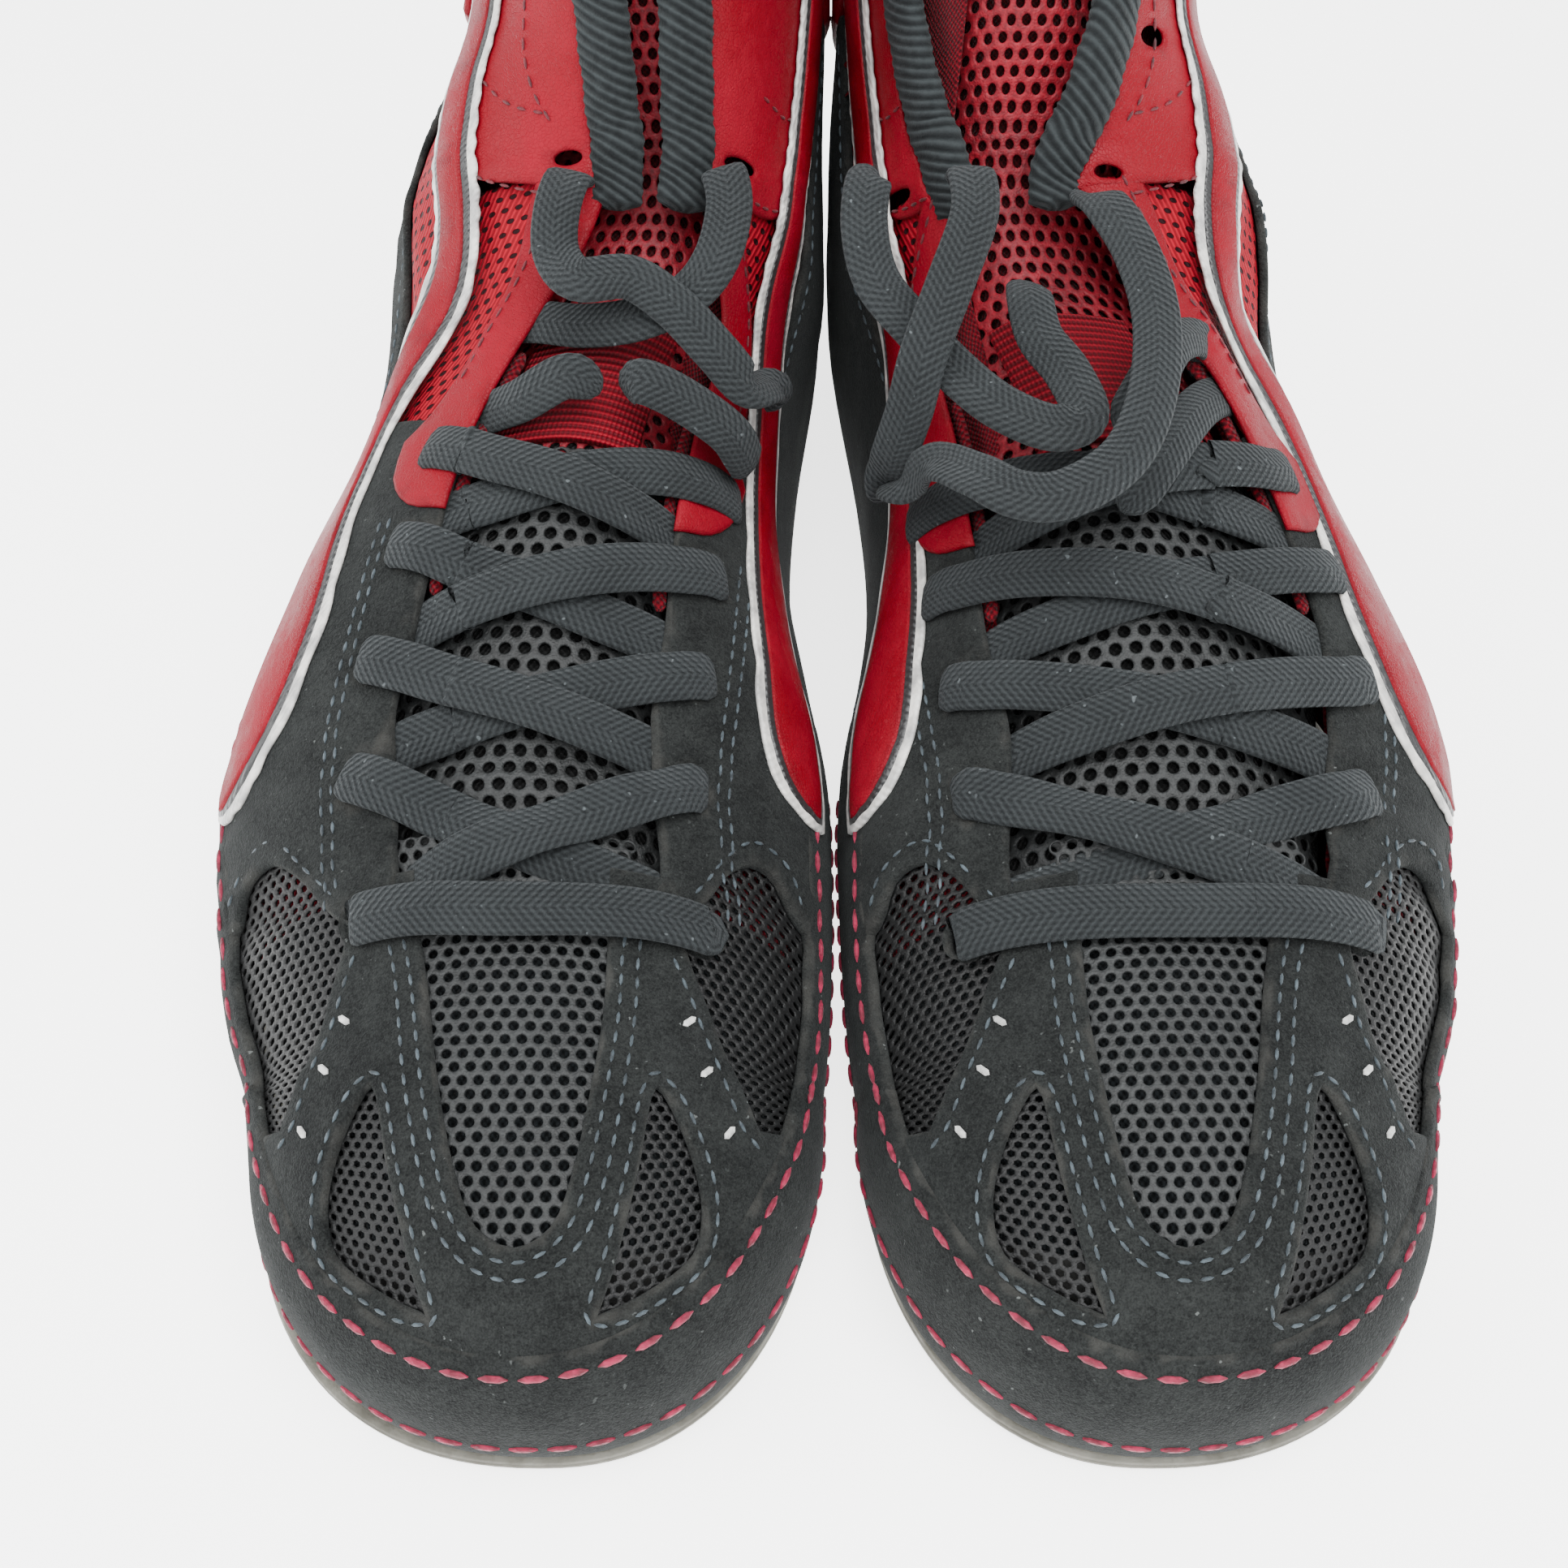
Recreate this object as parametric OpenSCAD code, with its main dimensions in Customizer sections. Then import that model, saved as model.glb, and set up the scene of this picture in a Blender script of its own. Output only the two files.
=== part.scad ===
// A pair of lace-up boxing boots, standing side by side with their toes towards -Y.
// Every upper piece is a patch of one last-shaped surface, offset outwards in layers.

/* [Last] */
// Length from the toe tip to the back of the heel
boot_length = 300; // [270:1:315]
// Overall width scale of the last
width_scale = 1; // [0.92:0.01:1.02]
// Height of the collar above the floor
boot_height = 165; // [160:1:180]

/* [Sole] */
// Thickness of the rubber outsole
outsole_t = 4.5; // [4:0.1:4.6]
// How far the outsole stands out past the last
outsole_flange = 1.8; // [1:0.1:2]
// Depth of the grooves across the tread
groove_depth = 1.4; // [0.5:0.1:2]
// Distance between tread grooves
groove_pitch = 11; // [9:1:18]
// Thickness of the removable sockliner
sockliner_t = 3.5; // [3:0.1:4]

/* [Upper] */
// Thickness of the mesh layer
mesh_t = 0.9; // [0.6:0.1:1]
// Thickness of the suede and synthetic leather overlays
overlay_t = 1; // [0.8:0.1:1]
// Thickness of the lining
lining_t = 1; // [0.8:0.1:1]
// Half the width of the open throat, as an angle round the last
throat_open = 30; // [27:1:32]

/* [Lace] */
// Thickness of the lace core
lace_t = 2.6; // [2:0.1:2.8]

/* [Hidden] */

upper_floor = 6.5;      // height of the feather line, where the upper meets the sole
flex_y = -62;           // line across the ball where the sole bends
flex_gap = 0.4;         // slit between the two halves of the sole at that line

// Stations of the last: front y and z, back y and z, medial x, lateral x, ridge x, where the
// widest point lies between front and back, and the roundness of the front and back halves.
stations = [
    [-147.5,   8,  -98,   6.5, 6.8, 85.0, 44.0, 0.97, 2.25, 2.0],
    [-149.0,  14,  -98,   6.5, 5.8, 87.5, 44.0, 0.95, 2.15, 3.0],
    [-147.5,  23,  -98,   6.5, 5.6, 89.0, 44.5, 0.92, 2.05, 4.0],
    [-141.0,  31,  -98,   6.5, 5.5, 89.5, 45.0, 0.88, 2.00, 5.0],
    [-128.0,  38,  -98,   6.5, 5.5, 90.0, 45.5, 0.84, 1.95, 6.0],
    [-112.0,  42,  -98,   6.5, 5.5, 91.0, 46.5, 0.80, 1.90, 6.0],
    [ -98.0,  44,  -98,   6.5, 5.5, 92.0, 47.5, 0.78, 1.90, 6.0],
    [ -84.0,  47,  -84,   6.5, 4.2, 98.0, 49.0, 0.77, 1.90, 6.0],
    [ -60.0,  55,  -60,   6.5, 3.4, 103.5, 51.0, 0.77, 1.90, 6.0],
    [ -40.0,  64,  -38,   6.5, 3.8, 105.5, 51.0, 0.78, 1.87, 6.0],
    [ -20.0,  73,  -14,   6.5, 7.5, 101.5, 48.5, 0.79, 1.87, 6.0],
    [   0.0,  82,   14,   6.5, 10.5, 94.0, 43.0, 0.78, 1.90, 5.5],
    [  17.0,  91,   48,   6.5, 9.0, 88.0, 34.0, 0.72, 2.10, 5.0],
    [  27.0, 100,   90,   6.5, 4.2, 85.0, 31.0, 0.60, 2.30, 4.0],
    [  31.0, 107,  126,   6.5, 3.6, 83.0, 30.0, 0.52, 2.40, 3.2],
    [  33.0, 112,  147,  13.0, 3.4, 80.5, 30.0, 0.50, 2.35, 2.6],
    [  35.0, 120,  148.8, 28.0, 3.5, 75.5, 30.0, 0.50, 2.20, 2.3],
    [  37.0, 130,  144.5, 60.0, 3.8, 67.0, 30.0, 0.52, 2.05, 2.2],
    [  38.5, 142,  138,  98.0, 4.0, 61.5, 30.0, 0.54, 2.00, 2.2],
    [  38.5, 153,  137, 130.0, 4.0, 60.5, 30.0, 0.56, 2.00, 2.2],
    [  38.0, 165,  139, 160.0, 4.0, 61.5, 30.0, 0.56, 2.00, 2.2]];
last_station = len(stations) - 1;

function clamp(v, lo, hi) = min(max(v, lo), hi);
function mix(a, b, t) = a + (b - a) * t;

// Smooth curve through four neighbouring values, at t between the middle two
function curve4(a, b, c, d, t) =
    0.5 * (2 * b + (c - a) * t + (2 * a - 5 * b + 4 * c - d) * t * t
    + (3 * b - a - 3 * c + d) * t * t * t);
function knot(i) = stations[clamp(i, 0, last_station)];
function station(s) =
    let (c = clamp(s, 0, last_station), i = min(floor(c), last_station - 1), t = c - i)
    curve4(knot(i - 1), knot(i), knot(i + 1), knot(i + 2), t);

function unit(v) = v / max(norm(v), 0.0001);
function turn(v) = [-v[1], v[0]];
// Outward directions of the front and the back profile, as [y, z]
function front_out(s) =
    let (a = station(s - 0.05), b = station(s + 0.05)) unit(turn([b[0] - a[0], b[1] - a[1]]));
function back_out(s) =
    let (a = station(s - 0.05), b = station(s + 0.05), v = [b[2] - a[2], b[3] - a[3]])
    norm(v) < 0.2 ? [0, -1] : -unit(turn(v));

function scale_y(y) = y * boot_length / 300;
function scale_z(z) = z < 100 ? z : 100 + (z - 100) * (boot_height - 100) / 65;

// A point on the last at station s and angle a round it: 0 is the ridge, positive angles are
// on the lateral side and 180 is the sole or the back. d is the distance outside the last.
function on_last(s, a, d) =
    let (k = station(s), f = front_out(s), b = back_out(s),
        ty = k[0] + f[0] * d, tz = k[1] + f[1] * d,
        by = k[2] + b[0] * d, bz = max(k[3] + b[1] * d, upper_floor),
        half = a >= 0 ? k[5] + d - k[6] : k[4] - d - k[6],
        front = abs(a) <= 90, e = 2 / (front ? k[8] : k[9]),
        c = pow(abs(cos(a)), e), w = pow(abs(sin(a)), e),
        t = front ? k[7] * (1 - c) : k[7] + (1 - k[7]) * c)
    [width_scale * (k[6] + half * w), scale_y(mix(ty, by, t)), scale_z(mix(tz, bz, t))];

// Rows of a panel, with steps - 1 rows put between each two knots. A knot is
// [s, first angle, last angle], or [s, first angle, s, last angle] where a row runs slantwise.
function full_knot(k) = len(k) == 4 ? k : [k[0], k[1], k[0], k[2]];
function rows_of(knots, steps) = [
    for (i = [0:len(knots) - 2]) for (j = [0:steps - 1])
        mix(full_knot(knots[i]), full_knot(knots[i + 1]), j / steps),
    full_knot(knots[len(knots) - 1])];

// One panel: a patch of the last between two offsets, closed all round
module panel(knots, across, d_in, thick, steps = 2) {
    rows = rows_of(knots, steps);
    n = len(rows);
    m = across + 1;
    layer = n * m;
    points = [
        for (d = [d_in, d_in + thick]) for (r = rows) for (j = [0:across])
            on_last(mix(r[0], r[2], j / across), mix(r[1], r[3], j / across), d)];
    function at(l, i, j) = l * layer + i * m + j;
    faces = [
        for (i = [0:n - 2]) for (j = [0:across - 1]) each [
            [at(1, i, j), at(1, i, j + 1), at(1, i + 1, j + 1)],
            [at(1, i, j), at(1, i + 1, j + 1), at(1, i + 1, j)],
            [at(0, i, j), at(0, i + 1, j + 1), at(0, i, j + 1)],
            [at(0, i, j), at(0, i + 1, j), at(0, i + 1, j + 1)]],
        for (i = [0:n - 2]) each [
            [at(0, i, 0), at(1, i + 1, 0), at(0, i + 1, 0)], [at(0, i, 0), at(1, i, 0), at(1, i + 1, 0)],
            [at(0, i, across), at(0, i + 1, across), at(1, i + 1, across)],
            [at(0, i, across), at(1, i + 1, across), at(1, i, across)]],
        for (j = [0:across - 1]) each [
            [at(0, 0, j), at(0, 0, j + 1), at(1, 0, j + 1)], [at(0, 0, j), at(1, 0, j + 1), at(1, 0, j)],
            [at(0, n - 1, j), at(1, n - 1, j + 1), at(0, n - 1, j + 1)],
            [at(0, n - 1, j), at(1, n - 1, j), at(1, n - 1, j + 1)]]];
    polyhedron(points, faces, convexity = 6);
}

function flip_side(knots) = [for (k = knots) [k[0], -k[2], -k[1]]];
module both_sides(knots, across, d_in, thick, steps = 2) {
    panel(knots, across, d_in, thick, steps);
    panel(flip_side(knots), across, d_in, thick, steps);
}

// Layers, as distances outside the last
mesh_d = -mesh_t;
overlay_d = 1.7;
lining_d = -4.6;
stiffener_d = -2.9;
stiffener_t = 0.8;
tongue_d = -7;

// Rows of lacing: station of each pair of eyelets and its angle from the ridge
lace_rows = [[7, 36], [7.95, 41], [8.85, 40], [9.75, 39], [10.5, 36], [11.3, 33], [13.5, 42]];
lace_d = overlay_d + overlay_t + lace_t / 2 + 0.5;
// Heights above the last where the two strands of a crossing pass the ridge
lace_low = 2.4;
lace_high = 5.6;
// Ends tucked inside the shaft, hanging down along the lining
tucked = [[13.7, 44, -6.8], [14.1, 50, -7.5], [14.3, 58, -8], [14.2, 68, -8.5], [14, 80, -8.5],
    [13.7, 90, -8.5], [13.5, 98, -9]];

// Outline of the sole: y, medial x and lateral x down each side
sole_sides = [[-98, 5.5, 91.5], [-84, 4.2, 97], [-60, 3, 102.5], [-40, 4.5, 104], [-14, 10, 99.5],
    [14, 14.5, 91], [48, 13, 83], [80, 8.5, 79], [104, 6.5, 77]];
toe_x = 44;         // x of the toe tip
toe_reach = 51;     // from the waist to the toe tip
heel_x = 41.5;      // x of the back of the heel
heel_reach = 45;    // from the last side point to the back of the heel
toe_round = 2.25;   // roundness of the toe and of the heel
heel_round = 2.2;

function side(i) = sole_sides[clamp(i, 0, len(sole_sides) - 1)];
function side_at(v) =
    let (i = min(floor(v), len(sole_sides) - 2))
    curve4(side(i - 1), side(i), side(i + 1), side(i + 2), v - i);
// A rounded end: t goes from 0 at the first side to 180 at the other
function end_point(t, y0, reach, x0, half_first, half_last, power) =
    [x0 + (t < 90 ? -half_first : half_last) * pow(abs(cos(t)), 2 / power),
    y0 + reach * pow(sin(t), 2 / power)];
function sole_outline(m) =
    let (last = len(sole_sides) - 1, a = sole_sides[0], b = sole_sides[last]) [
    for (t = [0:9:180])
        end_point(t, a[0], -toe_reach - m, toe_x, toe_x - a[1] + m, a[2] - toe_x + m, toe_round),
    for (v = [0.5:0.5:last - 0.5]) [side_at(v)[2] + m, side_at(v)[0]],
    for (t = [180:-9:0])
        end_point(t, b[0], heel_reach + m, heel_x, heel_x - b[1] + m, b[2] - heel_x + m, heel_round),
    for (v = [last - 0.5:-0.5:0.5]) [side_at(v)[1] - m, side_at(v)[0]]];

module sole_slab(m, z, thick) {
    translate([0, 0, z]) linear_extrude(thick)
        polygon([for (p = sole_outline(m)) [width_scale * p[0], scale_y(p[1])]]);
}
// The part of the children in front of the flex line, or behind it
module front_of(shown = true) {
    reach = 400;
    start = scale_y(flex_y) + (shown ? -flex_gap / 2 - reach : flex_gap / 2);
    intersection() {
        children();
        translate([-reach / 2, start, -reach / 2]) cube(reach);
    }
}

module tread() {
    groove_w = 2;
    groove_run = 140;
    below = 1;
    first = -13;
    difference() {
        sole_slab(outsole_flange, 0, outsole_t);
        for (i = [first:-first])
            translate([toe_x - groove_run / 2, i * groove_pitch - 3, -below])
                cube([groove_run, groove_w, groove_depth + below]);
    }
}
module outsole() color("silver") front_of(false) tread();
module outsole_toe() color("silver") front_of() tread();
module midsole_slab() sole_slab(-1.5, outsole_t, upper_floor - outsole_t);
module midsole() color("dimgray") front_of(false) midsole_slab();
module midsole_toe() color("dimgray") front_of() midsole_slab();
board_t = 1.5;
board_inset = 9;         // how far the board and the sockliner stay inside the outline of the sole
sockliner_inset = 12;
module insole_board() color("wheat") sole_slab(-board_inset, upper_floor, board_t);
module sockliner() color("dimgray") sole_slab(-sockliner_inset, upper_floor + board_t, sockliner_t);

// Linings stop above the sockliner
module toe_lining() color("black") panel(
    [[0.5, -92, 92], [2, -100, 100], [4, -106, 106], [6, -110, 110]], 14, lining_d, lining_t);
module toe_puff() color("white") panel(
    [[0.5, -80, 80], [2, -70, 70], [3.4, -50, 50]], 14, stiffener_d, stiffener_t);
lining_rows = [[7.2, 33, 112], [8, throat_open + 6, 114], [10, throat_open + 4, 118], [11, throat_open, 124],
    [12, 27, 132], [13, 23, 138], [14, 20, 140], [15, 19, 179.5], [17, 20, 179.5], [20, 22, 179.5]];
module quarter_lining_lateral() color("firebrick") panel(lining_rows, 12, lining_d, lining_t);
module quarter_lining_medial() color("firebrick") panel(flip_side(lining_rows), 12, lining_d, lining_t);
module heel_stiffener() color("white") both_sides(
    [[13, 118, 138], [14, 110, 140], [15, 106, 180], [16.4, 112, 180]], 7, stiffener_d, stiffener_t);

// Half of the rand, from the toe tip to its end beside the ball: top edge, then bottom edge
rand_half = [[2.35, 0, 0, 0], [2.45, 18, 0, 24], [2.75, 38, 0, 50], [3.3, 55, 0, 75], [4, 65, 0, 96],
    [5, 71, 1.5, 104], [6, 75, 5, 128], [6.8, 79, 6.8, 137], [8, 83, 8, 139], [9.2, 86, 9.2, 140]];
module toe_rand() color([0.17, 0.2, 0.21]) panel(
    concat([for (i = [len(rand_half) - 1:-1:1]) let (k = rand_half[i]) [k[0], -k[1], k[2], -k[3]]],
        rand_half), 4, overlay_d, overlay_t, 1);
module vamp_mesh() color([0.12, 0.13, 0.13]) panel(
    [[2.5, -22, 22], [3, -23, 23], [5, -23, 23], [7.2, -26, 26]], 5, mesh_d, mesh_t);
module side_mesh() color([0.1, 0.11, 0.11]) both_sides(
    [[2.8, 25, 44], [4, 26, 62], [6, 27, 74], [7.2, 30, 79], [8.4, 60, 83]], 4, mesh_d, mesh_t);
module vamp_overlay() color([0.2, 0.23, 0.24]) {
    panel([[2.66, -29, 29], [2.85, -36, 36]], 10, overlay_d, overlay_t, 1);
    both_sides([[2.88, 8, 24], [3.4, 13, 26], [5, 18, 31], [6.8, 21, 38]], 3, overlay_d, overlay_t);
    both_sides([[2.88, 24.5, 36], [3.3, 38, 46], [4, 46, 56], [6, 50, 62], [6.8, 40, 60]],
        2, overlay_d, overlay_t);
}
module lower_eyestay() color([0.2, 0.23, 0.24]) both_sides(
    [[7.15, 34, 68], [8, throat_open + 3, 81], [9, throat_open + 3, 84], [10.4, throat_open + 2, 64]],
    4, overlay_d, overlay_t);
module upper_eyestay() color("crimson") both_sides(
    [[10.5, throat_open + 1, 56], [11.5, throat_open, 52], [12.4, throat_open - 1, 50]],
    3, overlay_d, overlay_t);
module quarter_mesh() color("firebrick") both_sides(
    [[9.6, 66, 120], [11, 40, 126], [12.4, 38, 130], [13.4, 36, 120], [15, 40, 100], [16.4, 40, 96]],
    9, mesh_d, mesh_t);
sweep_rows = [[9.35, 86, 112], [10.5, 65, 92], [12, 58, 80], [13.5, 60, 78], [16, 63, 79], [18, 65, 80],
    [19.8, 66, 82]];
module swept_panel_lateral() color("crimson") panel(sweep_rows, 4, overlay_d, overlay_t);
module swept_panel_medial() color("crimson") panel(flip_side(sweep_rows), 4, overlay_d, overlay_t);
module heel_counter() color([0.15, 0.18, 0.18]) both_sides(
    [[12.4, 112, 139], [13.4, 96, 141], [14, 90, 142], [15, 88, 180], [16.5, 96, 180], [17.2, 120, 180]],
    8, overlay_d, overlay_t);
flap_rows = [[12.9, 25, 57], [13.5, 24, 57.5], [15, 24, 59], [17, 25, 61], [19.8, 27, 62]];
module ankle_flap_lateral() color("crimson") panel(flap_rows, 5, overlay_d, overlay_t);
module ankle_flap_medial() color("crimson") panel(flip_side(flap_rows), 5, overlay_d, overlay_t);
module collar() color("crimson") both_sides(
    [[17.4, 86, 180], [18.6, 85, 180], [19.8, 86, 180]], 10, overlay_d, overlay_t);
binding_d = -3;
binding_t = 5.2;
module throat_binding() color([0.2, 0.22, 0.23]) both_sides(
    [[13, 10, 18], [15, 11, 18.4], [17, 13, 19], [20, 16, 21]], 2, binding_d, binding_t);

module tongue_base() color([0.12, 0.13, 0.13]) panel(
    [[7.3, -32, 32], [8, -40, 40], [10.35, -40, 40]], 6, tongue_d, 1.4);
module tongue_top() color("firebrick") panel(
    [[10.6, -38, 38], [12, -34, 34], [13, -31, 31], [16, -33, 33], [19.9, -31, 31]],
    6, tongue_d - 2.4, 3);

// Smooth route through a list of points, with n rings to each pair
function smooth(p, n) = [
    for (i = [0:len(p) - 2]) for (j = [0:n - 1])
        curve4(p[max(i - 1, 0)], p[i], p[i + 1], p[min(i + 2, len(p) - 1)], j / n),
    p[len(p) - 1]];
function on_route(route) = [for (r = route) on_last(r[0], r[1], r[2])];
function mirror_route(route) = [for (r = route) [r[0], -r[1], r[2]]];
function backwards(list) = [for (i = [len(list) - 1:-1:0]) list[i]];

// A closed round tube through the points p, with flat ends
module tube(p, d) {
    sides = 8;
    n = len(p);
    function along(i) = unit(p[min(i + 1, n - 1)] - p[max(i - 1, 0)]);
    function across(i) =
        let (t = along(i), up = abs(t[2]) > 0.9 ? [0, 1, 0] : [0, 0, 1]) unit(cross(up, t));
    points = [
        for (i = [0:n - 1]) let (u = across(i), v = cross(along(i), u))
        for (k = [0:sides - 1]) p[i] + d / 2 * (cos(360 * k / sides) * u + sin(360 * k / sides) * v)];
    faces = [
        [for (k = [0:sides - 1]) k],
        [for (k = [sides - 1:-1:0]) (n - 1) * sides + k],
        for (i = [0:n - 2]) for (k = [0:sides - 1]) let (k2 = (k + 1) % sides, a = i * sides, b = a + sides)
        each [[a + k, b + k, b + k2], [a + k, b + k2, a + k2]]];
    polyhedron(points, faces, convexity = 8);
}

// One half of the criss-cross lacing: from row 0 on the given side up to the last row used
function crossing(i, from_side, high) =
    let (a = lace_rows[i], b = lace_rows[i + 1], m = (a[0] + b[0]) / 2) [
    [a[0] + 0.13, from_side * (a[1] - 3), lace_d],
    [mix(a[0], b[0], 0.3), from_side * a[1] * 0.5, mix(lace_d, high, 0.15)],
    [m, 0, high],
    [mix(a[0], b[0], 0.7), -from_side * b[1] * 0.5, mix(lace_d, high, 0.15)],
    [b[0] - 0.1, -from_side * (b[1] - 2), lace_d],
    [b[0] + 0.02, -from_side * (b[1] + 1), lace_d - 0.2]];
function half_lacing(first_side, rows, first_high) = [
    for (i = [0:rows - 2])
        each crossing(i, i % 2 == 0 ? first_side : -first_side,
            (i + (first_high ? 0 : 1)) % 2 == 0 ? lace_high : lace_low)];
function bar_row() = [
    [7, -36, lace_d], [6.97, -18, lace_d], [6.96, 0, lace_d - 0.4], [6.97, 18, lace_d], [7, 36, lace_d]];

lace_color = [0.22, 0.26, 0.27];
module lace_left() color(lace_color) tube(smooth(on_route(concat(
    backwards(half_lacing(-1, 6, false)), bar_row(), half_lacing(1, 6, true))), 1), lace_t);
module lace_right() color(lace_color) tube(smooth(on_route(concat(
    backwards(half_lacing(-1, 7, false)), bar_row(), half_lacing(1, 7, true))), 1), lace_t);
module lace_end_a() color(lace_color) tube(smooth(on_route(tucked), 2), lace_t);
module lace_end_b() color(lace_color) tube(smooth(on_route(mirror_route(tucked)), 2), lace_t);

// The boots are mirror images: the left boot is on the +X side
module right() mirror([1, 0, 0]) children();

outsole();  // left_outsole
outsole_toe();  // left_outsole_toe
midsole();  // left_midsole
midsole_toe();  // left_midsole_toe
insole_board();  // left_insole_board
sockliner();  // left_sockliner
toe_lining();  // left_toe_lining
toe_puff();  // left_toe_puff
quarter_lining_medial();  // left_quarter_lining_medial
quarter_lining_lateral();  // left_quarter_lining_lateral
heel_stiffener();  // left_heel_stiffener
toe_rand();  // left_toe_rand
vamp_mesh();  // left_vamp_mesh
vamp_overlay();  // left_vamp_overlay
side_mesh();  // left_side_mesh
lower_eyestay();  // left_lower_eyestay
upper_eyestay();  // left_upper_eyestay
quarter_mesh();  // left_quarter_mesh
swept_panel_medial();  // left_swept_panel_medial
swept_panel_lateral();  // left_swept_panel_lateral
heel_counter();  // left_heel_counter
ankle_flap_medial();  // left_ankle_flap_medial
ankle_flap_lateral();  // left_ankle_flap_lateral
collar();  // left_collar
throat_binding();  // left_throat_binding
tongue_base();  // left_tongue_base
tongue_top();  // left_tongue_top
lace_left();  // left_lace
lace_end_a();  // left_lace_end_a
lace_end_b();  // left_lace_end_b
right() outsole();  // right_outsole
right() outsole_toe();  // right_outsole_toe
right() midsole();  // right_midsole
right() midsole_toe();  // right_midsole_toe
right() insole_board();  // right_insole_board
right() sockliner();  // right_sockliner
right() toe_lining();  // right_toe_lining
right() toe_puff();  // right_toe_puff
right() quarter_lining_medial();  // right_quarter_lining_medial
right() quarter_lining_lateral();  // right_quarter_lining_lateral
right() heel_stiffener();  // right_heel_stiffener
right() toe_rand();  // right_toe_rand
right() vamp_mesh();  // right_vamp_mesh
right() vamp_overlay();  // right_vamp_overlay
right() side_mesh();  // right_side_mesh
right() lower_eyestay();  // right_lower_eyestay
right() upper_eyestay();  // right_upper_eyestay
right() quarter_mesh();  // right_quarter_mesh
right() swept_panel_medial();  // right_swept_panel_medial
right() swept_panel_lateral();  // right_swept_panel_lateral
right() heel_counter();  // right_heel_counter
right() ankle_flap_medial();  // right_ankle_flap_medial
right() ankle_flap_lateral();  // right_ankle_flap_lateral
right() collar();  // right_collar
right() throat_binding();  // right_throat_binding
right() tongue_base();  // right_tongue_base
right() tongue_top();  // right_tongue_top
right() lace_right();  // right_lace
right() lace_end_a();  // right_lace_end_a
right() lace_end_b();  // right_lace_end_b
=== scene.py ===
import math

import bmesh
import bpy
import numpy as np
from mathutils.geometry import delaunay_2d_cdt
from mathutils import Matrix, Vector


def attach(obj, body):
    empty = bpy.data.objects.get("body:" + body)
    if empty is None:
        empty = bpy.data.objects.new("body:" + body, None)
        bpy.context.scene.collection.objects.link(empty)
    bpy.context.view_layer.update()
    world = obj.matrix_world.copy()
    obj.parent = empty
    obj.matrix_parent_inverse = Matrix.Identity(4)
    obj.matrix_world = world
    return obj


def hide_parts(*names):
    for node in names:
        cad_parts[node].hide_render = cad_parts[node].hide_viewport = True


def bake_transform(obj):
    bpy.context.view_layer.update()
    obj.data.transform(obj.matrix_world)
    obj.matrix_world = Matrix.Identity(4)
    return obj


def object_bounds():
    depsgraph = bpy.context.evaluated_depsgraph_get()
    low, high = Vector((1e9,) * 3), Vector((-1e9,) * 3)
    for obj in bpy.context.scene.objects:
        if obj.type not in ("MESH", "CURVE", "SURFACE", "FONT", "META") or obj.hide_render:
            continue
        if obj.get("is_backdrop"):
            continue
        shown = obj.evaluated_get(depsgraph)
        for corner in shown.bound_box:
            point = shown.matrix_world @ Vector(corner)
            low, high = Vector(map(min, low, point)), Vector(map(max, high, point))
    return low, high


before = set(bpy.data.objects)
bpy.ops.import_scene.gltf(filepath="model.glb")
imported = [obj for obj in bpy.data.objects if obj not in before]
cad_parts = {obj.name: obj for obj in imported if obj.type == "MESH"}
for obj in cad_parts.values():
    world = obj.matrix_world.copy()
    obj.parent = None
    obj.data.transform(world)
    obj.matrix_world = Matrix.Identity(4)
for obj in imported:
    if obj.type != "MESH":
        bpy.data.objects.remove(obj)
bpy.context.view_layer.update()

# --- Camera ---
# It stands over the toes and looks down at the laced fronts of both boots.
camera = bpy.data.objects.new("camera", bpy.data.cameras.new("camera"))
camera.location = (-0.009, -0.221, 0.240)
camera.rotation_euler = (math.radians(40), 0, 0)
camera.data.lens = 36.1
bpy.context.scene.collection.objects.link(camera)
bpy.context.scene.camera = camera

# --- The last ---
# Both boots are pulled over one last, and the right one is its mirror image. A place on it is a
# station s, from the toe's feather line to the collar, and an angle a round it: 0 on the ridge,
# positive on the lateral side. Lengths here are in millimetres.
MM = 0.001
BOOTS = (("left", 1), ("right", -1))
RAD = math.pi / 180
FLOOR_OF_UPPER = 6.5
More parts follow.
